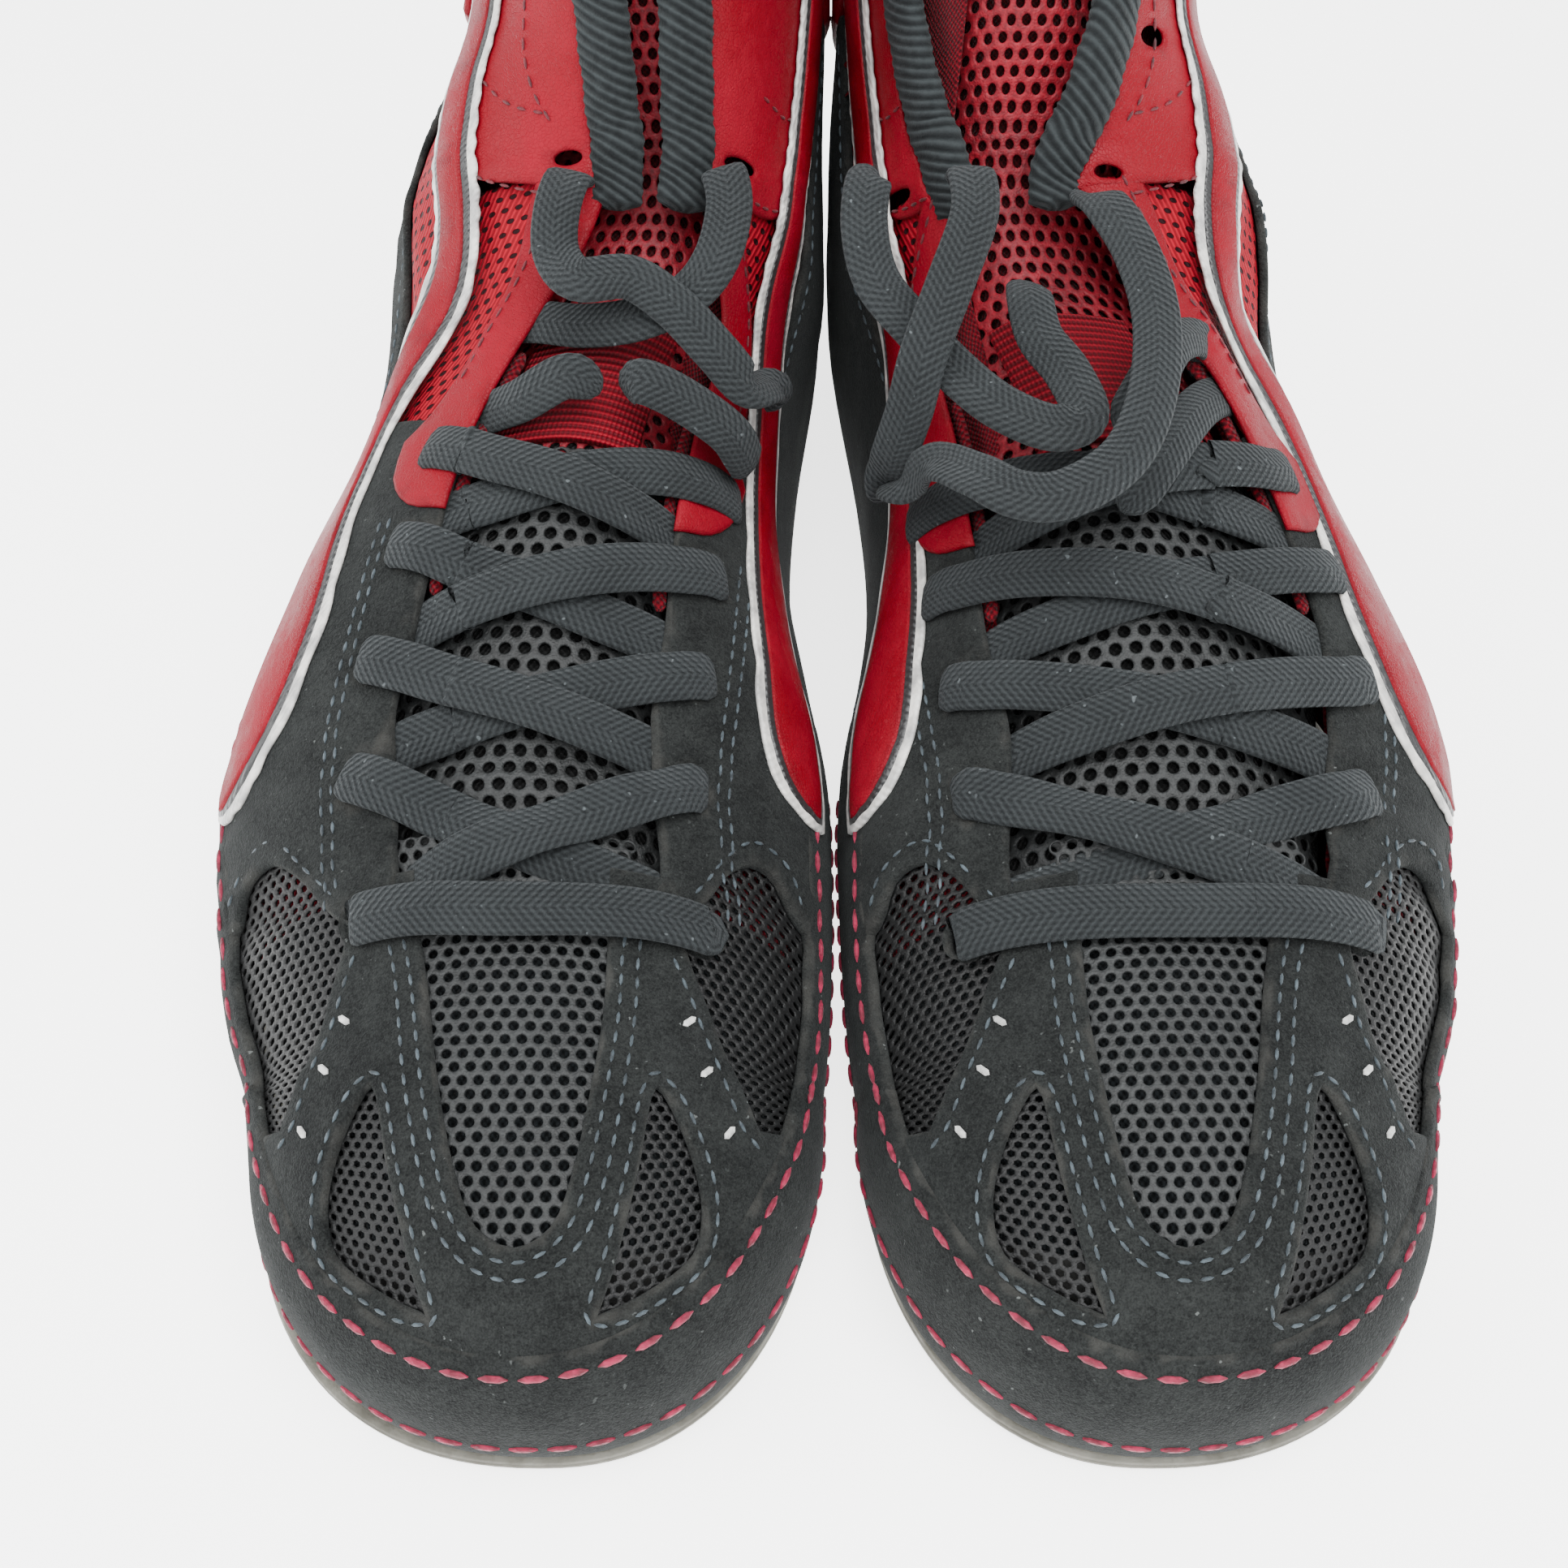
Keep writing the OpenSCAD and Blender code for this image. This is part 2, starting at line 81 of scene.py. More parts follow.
# Front y and z, back y and z, medial, lateral and ridge x, widest point, roundness front and back
STATIONS = np.array([
    [-147.5, 8, -98, 6.5, 6.8, 85, 44, 0.97, 2.25, 2],
    [-149, 14, -98, 6.5, 5.8, 87.5, 44, 0.95, 2.15, 3],
    [-147.5, 23, -98, 6.5, 5.6, 89, 44.5, 0.92, 2.05, 4],
    [-141, 31, -98, 6.5, 5.5, 89.5, 45, 0.88, 2, 5],
    [-128, 38, -98, 6.5, 5.5, 90, 45.5, 0.84, 1.95, 6],
    [-112, 42, -98, 6.5, 5.5, 91, 46.5, 0.8, 1.9, 6],
    [-98, 44, -98, 6.5, 5.5, 92, 47.5, 0.78, 1.9, 6],
    [-84, 47, -84, 6.5, 4.2, 98, 49, 0.77, 1.9, 6],
    [-60, 55, -60, 6.5, 3.4, 103.5, 51, 0.77, 1.9, 6],
    [-40, 64, -38, 6.5, 3.8, 105.5, 51, 0.78, 1.87, 6],
    [-20, 73, -14, 6.5, 7.5, 101.5, 48.5, 0.79, 1.87, 6],
    [0, 82, 14, 6.5, 10.5, 94, 43, 0.78, 1.9, 5.5],
    [17, 91, 48, 6.5, 9, 88, 34, 0.72, 2.1, 5],
    [27, 100, 90, 6.5, 4.2, 85, 31, 0.6, 2.3, 4],
    [31, 107, 126, 6.5, 3.6, 83, 30, 0.52, 2.4, 3.2],
    [33, 112, 147, 13, 3.4, 80.5, 30, 0.5, 2.35, 2.6],
    [35, 120, 148.8, 28, 3.5, 75.5, 30, 0.5, 2.2, 2.3],
    [37, 130, 144.5, 60, 3.8, 67, 30, 0.52, 2.05, 2.2],
    [38.5, 142, 138, 98, 4, 61.5, 30, 0.54, 2, 2.2],
    [38.5, 153, 137, 130, 4, 60.5, 30, 0.56, 2, 2.2],
    [38, 165, 139, 160, 4, 61.5, 30, 0.56, 2, 2.2]])
TOP_STATION = len(STATIONS) - 1


def curve4(p, q, r, w, t):
    return 0.5 * (2 * q + (r - p) * t + (2 * p - 5 * q + 4 * r - w) * t * t
                  + (3 * q - p - 3 * r + w) * t ** 3)


def station(s):
    s = np.clip(s, 0, TOP_STATION)
    i = np.minimum(np.floor(s).astype(int), TOP_STATION - 1)
    around = [STATIONS[np.clip(i + k, 0, TOP_STATION)] for k in (-1, 0, 1, 2)]
    return curve4(*around, (s - i)[..., None])


def unit(v):
    return v / np.maximum(np.linalg.norm(v, axis=-1, keepdims=True), 1e-6)


def on_last(s, a, d):
    s, a, d = np.broadcast_arrays(np.asarray(s, float), np.asarray(a, float), np.asarray(d, float))
    a = (a + 180) % 360 - 180
    k, before, after = station(s), station(s - 0.05), station(s + 0.05)
    front = unit(np.stack([before[..., 1] - after[..., 1], after[..., 0] - before[..., 0]], -1))
    run = after[..., 2:4] - before[..., 2:4]
    flat = np.linalg.norm(run, axis=-1, keepdims=True) < 0.2
    back = np.where(flat, [0.0, -1.0], -unit(np.stack([-run[..., 1], run[..., 0]], -1)))
    half = np.where(a >= 0, k[..., 5] + d - k[..., 6], k[..., 4] - d - k[..., 6])
    power = 2 / np.where(np.abs(a) <= 90, k[..., 8], k[..., 9])
    c = np.abs(np.cos(a * RAD)) ** power
    t = np.where(np.abs(a) <= 90, k[..., 7] * (1 - c), k[..., 7] + (1 - k[..., 7]) * c)
    top_y = k[..., 0] + front[..., 0] * d
    top_z = k[..., 1] + front[..., 1] * d
    low_y = k[..., 2] + back[..., 0] * d
    low_z = np.maximum(k[..., 3] + back[..., 1] * d, FLOOR_OF_UPPER)
    x = k[..., 6] + half * np.abs(np.sin(a * RAD)) ** power
    return np.stack([x, top_y + (low_y - top_y) * t, top_z + (low_z - top_z) * t], -1)


SOLE_SIDES = np.array([[-98, 5.5, 91.5], [-84, 4.2, 97], [-60, 3, 102.5], [-40, 4.5, 104], [-14, 10, 99.5],
                       [14, 14.5, 91], [48, 13, 83], [80, 8.5, 79], [104, 6.5, 77]])
TOE_X, TOE_REACH, TOE_ROUND = 44, 51, 2.25
HEEL_X, HEEL_REACH, HEEL_ROUND = 41.5, 45, 2.2


def round_end(angles, first, reach, x, power):
    left, right = x - first[1], first[2] - x
    c = np.cos(angles)
    return np.stack([x - np.sign(c) * np.where(c > 0, left, right) * np.abs(c) ** (2 / power),
                     first[0] + reach * np.abs(np.sin(angles)) ** (2 / power)], -1)


def sole_outline(m, steps=6):
    """Outline of the sole seen from above, moved out by m, from the medial side round the toe."""
    grown = SOLE_SIDES + [0, -m, m]
    turn = np.linspace(0, math.pi, 61)
    sides = np.array([curve4(*[grown[min(max(i + k, 0), len(grown) - 1)] for k in (-1, 0, 1, 2)], j / steps)
                      for i in range(len(grown) - 1) for j in range(steps)])[1:]
    return np.concatenate([round_end(turn, grown[0], -TOE_REACH - m, TOE_X, TOE_ROUND),
                           sides[:, [2, 0]],
                           round_end(turn, grown[-1], HEEL_REACH + m, HEEL_X, HEEL_ROUND)[::-1],
                           sides[::-1, [1, 0]]])


edge_of_sole = sole_outline(0) - [TOE_X, 0]
edge_turn = np.arctan2(edge_of_sole[:, 1], edge_of_sole[:, 0])
edge_order = np.argsort(edge_turn)
edge_turn = edge_turn[edge_order]
edge_reach = np.linalg.norm(edge_of_sole, axis=1)[edge_order]
CUP_TOP = 27            # height up to which the upper is drawn out to the edge of the sole
HANDS = np.random.default_rng(7)
dents = [(unit(HANDS.normal(size=3)) * 2 * math.pi / HANDS.uniform(24, 60), HANDS.uniform(0, 6.3))
         for _ in range(9)]


def relief(p, side):
    """How far the worn upper stands out or in from the last, the same for every layer."""
    y, z = p[..., 1], p[..., 2]
    soft = sum(np.sin(p @ k + phase + side) for k, phase in dents) * 0.14
    ball = 0.45 * np.sin(y * 0.62 + p[..., 0] * 0.05 * side) * np.exp(-((y + 68) / 16) ** 2)
    ankle = 0.8 * np.sin(z * 0.33 - y * 0.12 + side) * np.exp(-((z - 74) / 16) ** 2) * (p[..., 0] > 60)
    return (soft + ball + ankle) * np.clip((z - 12) / 20, 0, 1)


def skin(side, s, a, d=0.0):
    """Points of the worn upper, d outside the last, for the boot on that side."""
    d = np.asarray(d, float)
    bare = on_last(s, a, 0)
    p = on_last(s, a, d + relief(bare, side))
    flat = p[..., :2] - [TOE_X, 0]
    reach = np.linalg.norm(flat, axis=-1)
    goal = np.interp(np.arctan2(flat[..., 1], flat[..., 0]), edge_turn, edge_reach, period=2 * math.pi)
    t = np.clip((CUP_TOP - p[..., 2]) / (CUP_TOP - FLOOR_OF_UPPER - 1), 0, 1) * (d > -1.2)
    pull = t * t * (3 - 2 * t)
    grow = 1 + np.maximum(goal - 1.6 + 0.5 * d - reach, 0) * pull / np.maximum(reach, 1)
    p[..., :2] = flat * grow[..., None] + [TOE_X, 0]
    p[..., 2] -= 1.3 * pull ** 4
    return p * [side, 1, 1]


def angle_at(s, across):
    """Angle of the point that lies so many millimetres across from the ridge at station s."""
    k = station(np.asarray(s, float))
    across = np.asarray(across, float)
    half = np.where(across >= 0, k[..., 5] - k[..., 6], k[..., 6] - k[..., 4])
    return np.sign(across) * np.arcsin(np.clip(np.abs(across) / half, 0, 1) ** (k[..., 8] / 2)) / RAD


def feather(s):
    """Angle where the side of station s comes down to the sole."""
    turns = np.arange(90, 181.0)
    low = on_last(s, turns, 1.7)[:, 2] < 8.6
    return float(turns[low][0]) if low.any() else 180.0


# --- Shader nodes ---
# Every finish below is a short sum on sockets: a Socket adds the Math nodes for its operators,
# and Finish.node adds any other node.
class Socket:
    def __init__(self, finish, out):
        self.finish, self.out = finish, out

    def math(self, operation, *values):
        return self.finish.node("Math", {"operation": operation}, dict(enumerate(values)))

    def __add__(self, other):
        return self.math("ADD", self, other)

    def __sub__(self, other):
        return self.math("SUBTRACT", self, other)

    def __rsub__(self, other):
        return self.math("SUBTRACT", other, self)

    def __mul__(self, other):
        return self.math("MULTIPLY", self, other)

    __radd__ = __add__
    __rmul__ = __mul__

    def wave(self):
        return self.math("SINE", self)

    def size(self):
        return self.math("ABSOLUTE", self)

    def step(self, low, high, to_low=0.0, to_high=1.0):
        return self.finish.node("MapRange", {"interpolation_type": "SMOOTHSTEP"},
                                {0: self, 1: low, 2: high, 3: to_low, 4: to_high})


def linear(code):
    """Scene colour of a six-figure colour code."""
    parts = [int(code[i:i + 2], 16) / 255 for i in (0, 2, 4)]
    return [c / 12.92 if c <= 0.04045 else ((c + 0.055) / 1.055) ** 2.4 for c in parts] + [1.0]


class Finish:
    def __init__(self, name, roughness=0.6, sheen=0.0, specular=0.5, coat=0.0, sheen_tint="FFFFFF"):
        self.material = bpy.data.materials.new(name)
        self.material.use_nodes = True
        self.tree = self.material.node_tree
        self.shader = self.tree.nodes["Principled BSDF"]
        self.shader.inputs["Roughness"].default_value = roughness
        self.shader.inputs["Sheen Weight"].default_value = sheen
        self.shader.inputs["Sheen Tint"].default_value = linear(sheen_tint)
        self.shader.inputs["Specular IOR Level"].default_value = specular
        self.shader.inputs["Coat Weight"].default_value = coat

    def node(self, kind, settings=None, values=None, output=0):
        node = self.tree.nodes.new("ShaderNode" + kind)
        for key, value in (settings or {}).items():
            setattr(node, key, value)
        for key, value in (values or {}).items():
            self.feed(node.inputs[key], value)
        return Socket(self, node.outputs[output])

    def feed(self, socket, value):
        if isinstance(value, Socket):
            self.tree.links.new(value.out, socket)
        else:
            socket.default_value = value

    def mix(self, factor, low, high):
        """Colour between two colours, given as colour codes or sockets."""
        low, high = [linear(c) if isinstance(c, str) else c for c in (low, high)]
        return self.node("Mix", {"data_type": "RGBA"}, {0: factor, 6: low, 7: high}, 2)

    def place(self):
        return self.node("TexCoord", output="Object")

    def noise(self, per_metre, detail=3.0, vector=None, distortion=0.0):
        return self.node("TexNoise", None, {"Vector": vector or self.place(), "Scale": per_metre,
                                            "Detail": detail, "Distortion": distortion})

    def cloth(self):
        """Millimetres across and along the cloth."""
        split = self.tree.nodes.new("ShaderNodeSeparateXYZ")
        self.feed(split.inputs[0], self.node("UVMap", {"uv_map": "cloth"}))
        return Socket(self, split.outputs[0]), Socket(self, split.outputs[1])

    def edge(self):
        """1 on the cut edge of a panel, falling to 0 a few millimetres in."""
        return self.node("Attribute", {"attribute_name": "edge"}, output="Fac")

    def done(self, colour, height=None, depth=0.0003, strength=1.0, roughness=None, normal=None):
        self.feed(self.shader.inputs["Base Color"], linear(colour) if isinstance(colour, str) else colour)
        if height is not None:
            bump = self.node("Bump", None, {"Strength": strength, "Distance": depth, "Height": height})
            self.feed(self.shader.inputs["Normal"], bump)
        if roughness is not None:
            self.feed(self.shader.inputs["Roughness"], roughness)
        return self.material


# --- Laces ---
# One flat woven cotton lace a boot, 8.5 mm wide: a bar across the lowest pair of eyelets, then
# criss-cross under one edge of the throat and over the other. It isn't tied: the top strands lie
# loose, and both ends are tucked down inside the shaft with their clear tips on.
LACE_W = 8.4
LACE_T = 2.0


def lace_cotton():
    f = Finish("lace_cotton", roughness=0.95, sheen=0.15, specular=0.15, sheen_tint="9AA0A2")
    across, along = f.cloth()
    chevron = ((along * 4.6 + across.size() * 4.2 + f.noise(300) * 1.5).wave() * 0.5 + 0.5)
    strands = ((across * 6.8).wave() * 0.5 + 0.5)
    fuzz = f.noise(2600, 2)
    weave = chevron * 0.65 + strands * 0.35
    tone = (weave * 0.55 + fuzz * 0.45 + f.noise(90, 2) * 0.35).step(0.3, 1.05)
    lint = f.noise(700, 1).step(0.74, 0.8) * 0.35
    colour = f.mix(lint, f.mix(tone, "131516", "2A2D2E"), "6F7678")
    return f.done(colour, weave + fuzz * 0.9, 0.0005, 0.9)


def spline(points, step):
    """A smooth route through the points, with a ring about every step millimetres."""
    p = np.asarray(points, float)
    rows = []
    for i in range(len(p) - 1):
        four = [p[min(max(i + k, 0), len(p) - 1)] for k in (-1, 0, 1, 2)]
        n = max(2, round(np.linalg.norm(four[2][:3] - four[1][:3]) / step))
        rows += [curve4(*four, j / n) for j in range(n)]
    return np.array(rows + [p[-1]])


class Shell:
    """Points, faces, cloth millimetres and edge wear of one piece, gathered part by part."""
    def __init__(self):
        self.points, self.faces, self.cloth, self.edge, self.count = [], [], [], [], 0

    def add(self, points, faces, cloth=None, edge=None):
        n = len(points)
        self.points.append(points)
        self.faces += [[i + self.count for i in f] for f in faces]
        self.cloth.append(np.zeros((n, 2)) if cloth is None else cloth)
        self.edge.append(np.zeros(n) if edge is None else edge)
        self.count += n

    def piece(self, name, material, side=1):
        mesh = bpy.data.meshes.new(name)
        faces = self.faces if side > 0 else [f[::-1] for f in self.faces]
        mesh.from_pydata(np.concatenate(self.points) * MM, [], faces)
        mesh.update()
        corner = np.zeros(len(mesh.loops), int)
        mesh.loops.foreach_get("vertex_index", corner)
        layer = mesh.uv_layers.new(name="cloth")
        layer.data.foreach_set("uv", np.concatenate(self.cloth)[corner].ravel().astype(np.float32))
        wear = mesh.attributes.new("edge", "FLOAT", "POINT")
        wear.data.foreach_set("value", np.concatenate(self.edge).astype(np.float32))
        mesh.materials.append(material)
        mesh.shade_smooth()
        piece = bpy.data.objects.new(name, mesh)
        bpy.context.scene.collection.objects.link(piece)
        return piece


def sew_in(piece, boot, slot, *nodes):
    """The piece keeps its place with its transform baked in, and stands for those nodes of its boot."""
    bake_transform(piece)
    if nodes:
        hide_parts(*[f"{boot}_{n}" for n in nodes])
    return piece


def sweep(shell, route, up, width, thick, sides=12, ribs=None, pinch=()):
    """A flat or round band along the route, closed at both ends."""
    n = len(route)
    along = unit(np.gradient(route, axis=0))
    across = unit(np.cross(along, up))
    out = np.cross(across, along)
    turn = np.linspace(0, 2 * math.pi, sides, endpoint=False)
    c, w = np.cos(turn), np.sin(turn)
    flat_power = 0.62 if width > 2 * thick else 1.0
    x = np.sign(c) * np.abs(c) ** flat_power * width / 2
    y = np.sign(w) * np.abs(w) ** 0.85 * thick / 2
    reach = np.concatenate([[0], np.cumsum(np.linalg.norm(np.diff(route, axis=0), axis=1))])
    size = np.ones(n)
    if "start" in pinch:
        size = np.minimum(size, 0.55 + reach / 9)
    if "end" in pinch:
        size = np.minimum(size, 0.55 + (reach[-1] - reach) / 9)
    tip = np.minimum(1, 0.35 + np.minimum(reach, reach[-1] - reach) / 1.6)
    grow = np.ones((n, sides)) * tip[:, None]
    if ribs is not None:
        grow = grow * (1 + ribs(reach[:, None], turn[None, :]))
    points = (route[:, None] + across[:, None] * (x * size[:, None] * grow)[..., None]
              + out[:, None] * (y * grow)[..., None]).reshape(-1, 3)
    faces = [[i * sides + k, i * sides + (k + 1) % sides, (i + 1) * sides + (k + 1) % sides,
              (i + 1) * sides + k]
             for i in range(n - 1) for k in range(sides)]
    faces += [list(range(sides))[::-1], [(n - 1) * sides + k for k in range(sides)]]
    cloth = np.stack([np.tile(x, n), np.repeat(reach, sides)], -1)
    shell.add(points, faces, cloth)


def up_at(side, s, a):
    """Outward direction of the upper there, for the boot on that side."""
    e = 0.02
    run_s = skin(side, s + e, a) - skin(side, s - e, a)
    run_a = skin(side, s, a + 1) - skin(side, s, a - 1)
    return unit(np.cross(run_a, run_s)) * side


def lay_on(side, route, step=1.2):
    """Points and outward directions of a route given as station, millimetres across and height."""
    r = spline(route, step / 13)
    a = angle_at(r[:, 0], r[:, 1])
    return skin(side, r[:, 0], a, r[:, 2]), up_at(side, r[:, 0], a)


# Half the width of the open throat, medial then lateral, by station. The left boot gapes wider.
THROAT_S = [7, 8.4, 9.2, 10.2, 11.3, 12.2, 13.2]
THROAT = {"left": ([-23, -23.5, -26, -24, -20, -14, -8], [23, 26, 27, 24.5, 20, 14, 8]),
          "right": ([-21, -20.5, -22, -20, -18, -12, -7], [17.5, 18.5, 16, 15, 13.5, 10, 7])}
ROWS = [7.0, 7.95, 8.85, 9.75, 10.55, 11.35]
EYELET_IN = 5.5         # from the throat's edge to the middle of an eyelet
OVER_SUEDE = 4.1        # height of a strand that lies on the suede


def throat(boot, s, way):
    return np.interp(s, THROAT_S, THROAT[boot][0 if way < 0 else 1])


def eyelet(boot, row, way):
    s = ROWS[row]
    return s, throat(boot, s, way) + way * EYELET_IN


def crossing(boot, row, way, height):
    """A strand that comes up beside the tongue at one row and climbs to the next row's eyelet."""
    s0, s1 = ROWS[row], ROWS[row + 1]
    start = throat(boot, s0, way) + way * 2
    far_s, far = eyelet(boot, row + 1, -way)
    edge = throat(boot, s1, -way)
    return [(s0 + 0.16, start, 0.2), (s0 + 0.2, start - way * 3, 0.6),
            (s0 + (s1 - s0) * 0.33, start * 0.45 + edge * 0.05, height),
            (s0 + (s1 - s0) * 0.62, edge * 0.45, height + 0.5),
            (s1 - 0.14, edge, OVER_SUEDE), (far_s - 0.05, far - way * -1.5, OVER_SUEDE),
            (far_s, far - way * 1.2, OVER_SUEDE - 0.8), (far_s + 0.01, far - way * 2.2, 1.0)]


# Loose strands above the crossings, as listed points x, y, z of each boot
LOOSE = {
    "right": [
        [(44, 28, 101), (44.5, 22, 106), (46, 15, 104), (46, 9, 100), (42, 3, 99), (34, 5, 98),
         (27, 3, 94), (20, -1, 88), (15, -2, 82), (11, 6, 76), (9.5, 9, 70)],
        [(20, 31, 100), (19, 25, 105), (18, 18, 103), (20, 9, 99), (25, 6, 94), (33, 4, 91), (42, 5, 89),
         (50, 9, 87), (56, 14, 83), (59, 17, 78)],
        [(35, -4, 82), (33, -6, 86), (27, -7, 84), (19, -8, 78), (16, -7, 72), (15, -4, 66)],
        [(39, -6, 84), (44, -6, 87), (52, -7, 83), (59, -4, 78), (64, 0, 74), (65, 4, 70), (64, 5, 65)]],
    "left": [
        [(7, 27, 99), (5, 21, 106), (4, 12, 103), (6, 4, 98), (12, -3, 94), (18, -10, 91), (25, -17, 89),
         (33, -21, 88), (38, -19, 89), (36, -11, 91), (32, -4, 93), (31, 4, 95), (32, 12, 92)],
        [(21, 22, 104), (21, 16, 110), (21, 7, 108), (17, -3, 102), (13, -11, 95), (11, -14, 86),
         (9, -13, 76),
         (8.5, -9, 68), (9, -6, 62)],
        [(9, -8, 66), (11, -15, 72), (15, -22, 82), (20, -31, 87), (26, -37, 88), (33, -38, 89),
         (42, -32, 91),
         (47, -22, 95), (49, -8, 99), (47, 4, 103), (43, 13, 106), (42, 20, 103), (43, 25, 98)],
        [(44, -20, 86), (49, -12, 90), (54, -2, 90), (60, 6, 86), (64, 10, 80), (64, 11, 74)],
        [(45, -27, 76), (51, -20, 81), (59, -7, 81), (66, 2, 77), (70, 4, 72), (70, 5, 67)]]}
LOOSE_UP = (0, -0.55, 0.83)

# Both ends hang down inside the shaft, along the lining
TUCKED = [(13.7, 44, -6.8), (14.1, 50, -7.5), (14.3, 58, -8), (14.2, 68, -8.5), (14, 80, -8.5),
          (13.7, 90, -8.5), (13.5, 98, -9)]
cotton = lace_cotton()


def clear_tip():
    f = Finish("lace_tip", roughness=0.2, specular=0.5, coat=0.4)
    return f.done(f.mix(f.noise(500, 2).step(0.4, 0.7), "30383A", "596265"))


tip_plastic = clear_tip()
for boot, side in BOOTS:
    shell = Shell()
    bar = [(ROWS[0] + 0.02, eyelet(boot, 0, -1)[1] + 2, 1.2),
           (ROWS[0] + 0.01, eyelet(boot, 0, -1)[1], OVER_SUEDE - 0.6),
           (ROWS[0], throat(boot, ROWS[0], -1) + 3, OVER_SUEDE + 0.2), (ROWS[0] - 0.05, 0, 3.6),
           (ROWS[0], throat(boot, ROWS[0], 1) - 3, OVER_SUEDE + 0.2),
           (ROWS[0] + 0.01, eyelet(boot, 0, 1)[1], OVER_SUEDE - 0.6),
           (ROWS[0] + 0.02, eyelet(boot, 0, 1)[1] - 2, 1.2)]
    sweep(shell, *lay_on(side, bar), LACE_W, LACE_T, pinch=("start", "end"))
    for row in range(4):
        for way in (-1, 1):
            over = (row + (way > 0)) % 2
            strand = crossing(boot, row, way, 3.0 if over else 0.7)
            sweep(shell, *lay_on(side, strand), LACE_W, LACE_T, pinch=("end",))
    for strand in LOOSE[boot]:
        route = spline([(x * side, y, z) for x, y, z in strand], 1.2)
        along = unit(np.gradient(route, axis=0))
        up = unit(np.cross(np.cross(along, LOOSE_UP) + along * 1e-3, along))
        sweep(shell, route, up, LACE_W * 0.92, LACE_T, pinch=("start", "end"))
    sew_in(shell.piece(f"{boot}_lace_woven", cotton), boot, "lace_cotton", "lace")
    for end, way in (("a", 1), ("b", -1)):
        r = spline([(s, a * way, d) for s, a, d in TUCKED], 0.5)
        path = on_last(r[:, 0], r[:, 1], r[:, 2]) * [side, 1, 1]
        inward = unit(path - on_last(r[:, 0], r[:, 1], r[:, 2] - 4) * [side, 1, 1])
        shell = Shell()
        sweep(shell, path, inward, LACE_W * 0.9, LACE_T)
        free_end = shell.piece(f"{boot}_lace_end_{end}_woven", cotton)
        shell = Shell()
        tip = np.linspace(path[-1], path[-1] + (path[-1] - path[-6]) * 1.2, 8)
        sweep(shell, tip, np.repeat(inward[-1:], 8, 0), 3.4, 3.0)
        aglet = shell.piece(f"{boot}_lace_tip_{end}", tip_plastic)
        for piece, slot in ((free_end, "lace_cotton"), (aglet, "lace_cotton")):
            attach(piece, f"{boot}_boot")
        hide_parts(f"{boot}_lace_end_{end}")

# --- Sole ---
# A one-piece gum rubber outsole with a thin foam midsole and a stitched-in board, all cut to one
# outline. Small hexagonal lugs are moulded on the underside.
OUTSOLE_T, FLANGE = 4.5, 1.8
LUG_PITCH = 8.5


def gum_rubber():
    f = Finish("gum_rubber", roughness=0.62, specular=0.4)
    dirt = (f.noise(60, 4) * 0.7 + f.noise(400, 3) * 0.4).step(0.42, 0.75)
    grain = f.noise(1500, 3)
    return f.done(f.mix(dirt, "65635A", "45433A"), grain, 0.0004, 0.5, f.noise(300).step(0.3, 0.8, 0.5, 0.8))


def foam(name, low, high):
    f = Finish(name, roughness=0.9, sheen=0.1, specular=0.2)
    return f.done(f.mix(f.noise(120, 4).step(0.35, 0.7), low, high), f.noise(1800, 2), 0.0003, 0.6)


def inside(points, loop):
    """Which points lie inside the closed loop."""
    x, y = points[:, 0][:, None], points[:, 1][:, None]
    x0, y0 = loop[:, 0], loop[:, 1]
    x1, y1 = np.roll(x0, -1), np.roll(y0, -1)
    crosses = (y0 > y) != (y1 > y)
    at = x0 + (y - y0) * (x1 - x0) / np.where(y1 == y0, 1e-9, y1 - y0)
    return (crosses & (x < at)).sum(1) % 2 == 1


def fill(loops, spacing):
    """Triangles over the first loop less the others, on the loops' own points and a lattice."""
    edge_points = np.concatenate(loops)
    lattice = np.zeros((0, 2))
    if spacing:
        low, high = loops[0].min(0), loops[0].max(0)
        rows = np.arange(low[1], high[1], spacing * 0.87)
        lattice = np.array([(x + (i % 2) * spacing / 2, y) for i, y in enumerate(rows)
                            for x in np.arange(low[0], high[0], spacing)]).reshape(-1, 2)
        keep = inside(lattice, loops[0])
        for hole in loops[1:]:
            keep &= ~inside(lattice, hole)
        lattice = lattice[keep]
        near = np.array([np.min(np.abs(edge_points - p).max(1)) for p in lattice])
        lattice = lattice[near > spacing * 0.5] if len(lattice) else lattice
    points = np.concatenate([edge_points, lattice])
    edges, start = [], 0
    for loop in loops:
        n = len(loop)
        edges += [(start + i, start + (i + 1) % n) for i in range(n)]
        start += n
    flat, _, triangles, _, _, _ = delaunay_2d_cdt([tuple(p) for p in points], edges, [], 0, 1e-7)
    flat = np.array([tuple(p) for p in flat])
    triangles = np.array([t for t in triangles if len(t) == 3])
    middle = flat[triangles].mean(1)
    keep = inside(middle, loops[0])
    for hole in loops[1:]:
        keep &= ~inside(middle, hole)
    triangles = triangles[keep]
    a, b, c = (flat[triangles[:, k]] for k in range(3))
    turned = (b[:, 0] - a[:, 0]) * (c[:, 1] - a[:, 1]) - (b[:, 1] - a[:, 1]) * (c[:, 0] - a[:, 0]) < 0
    triangles[turned] = triangles[turned][:, ::-1]
    return flat, triangles


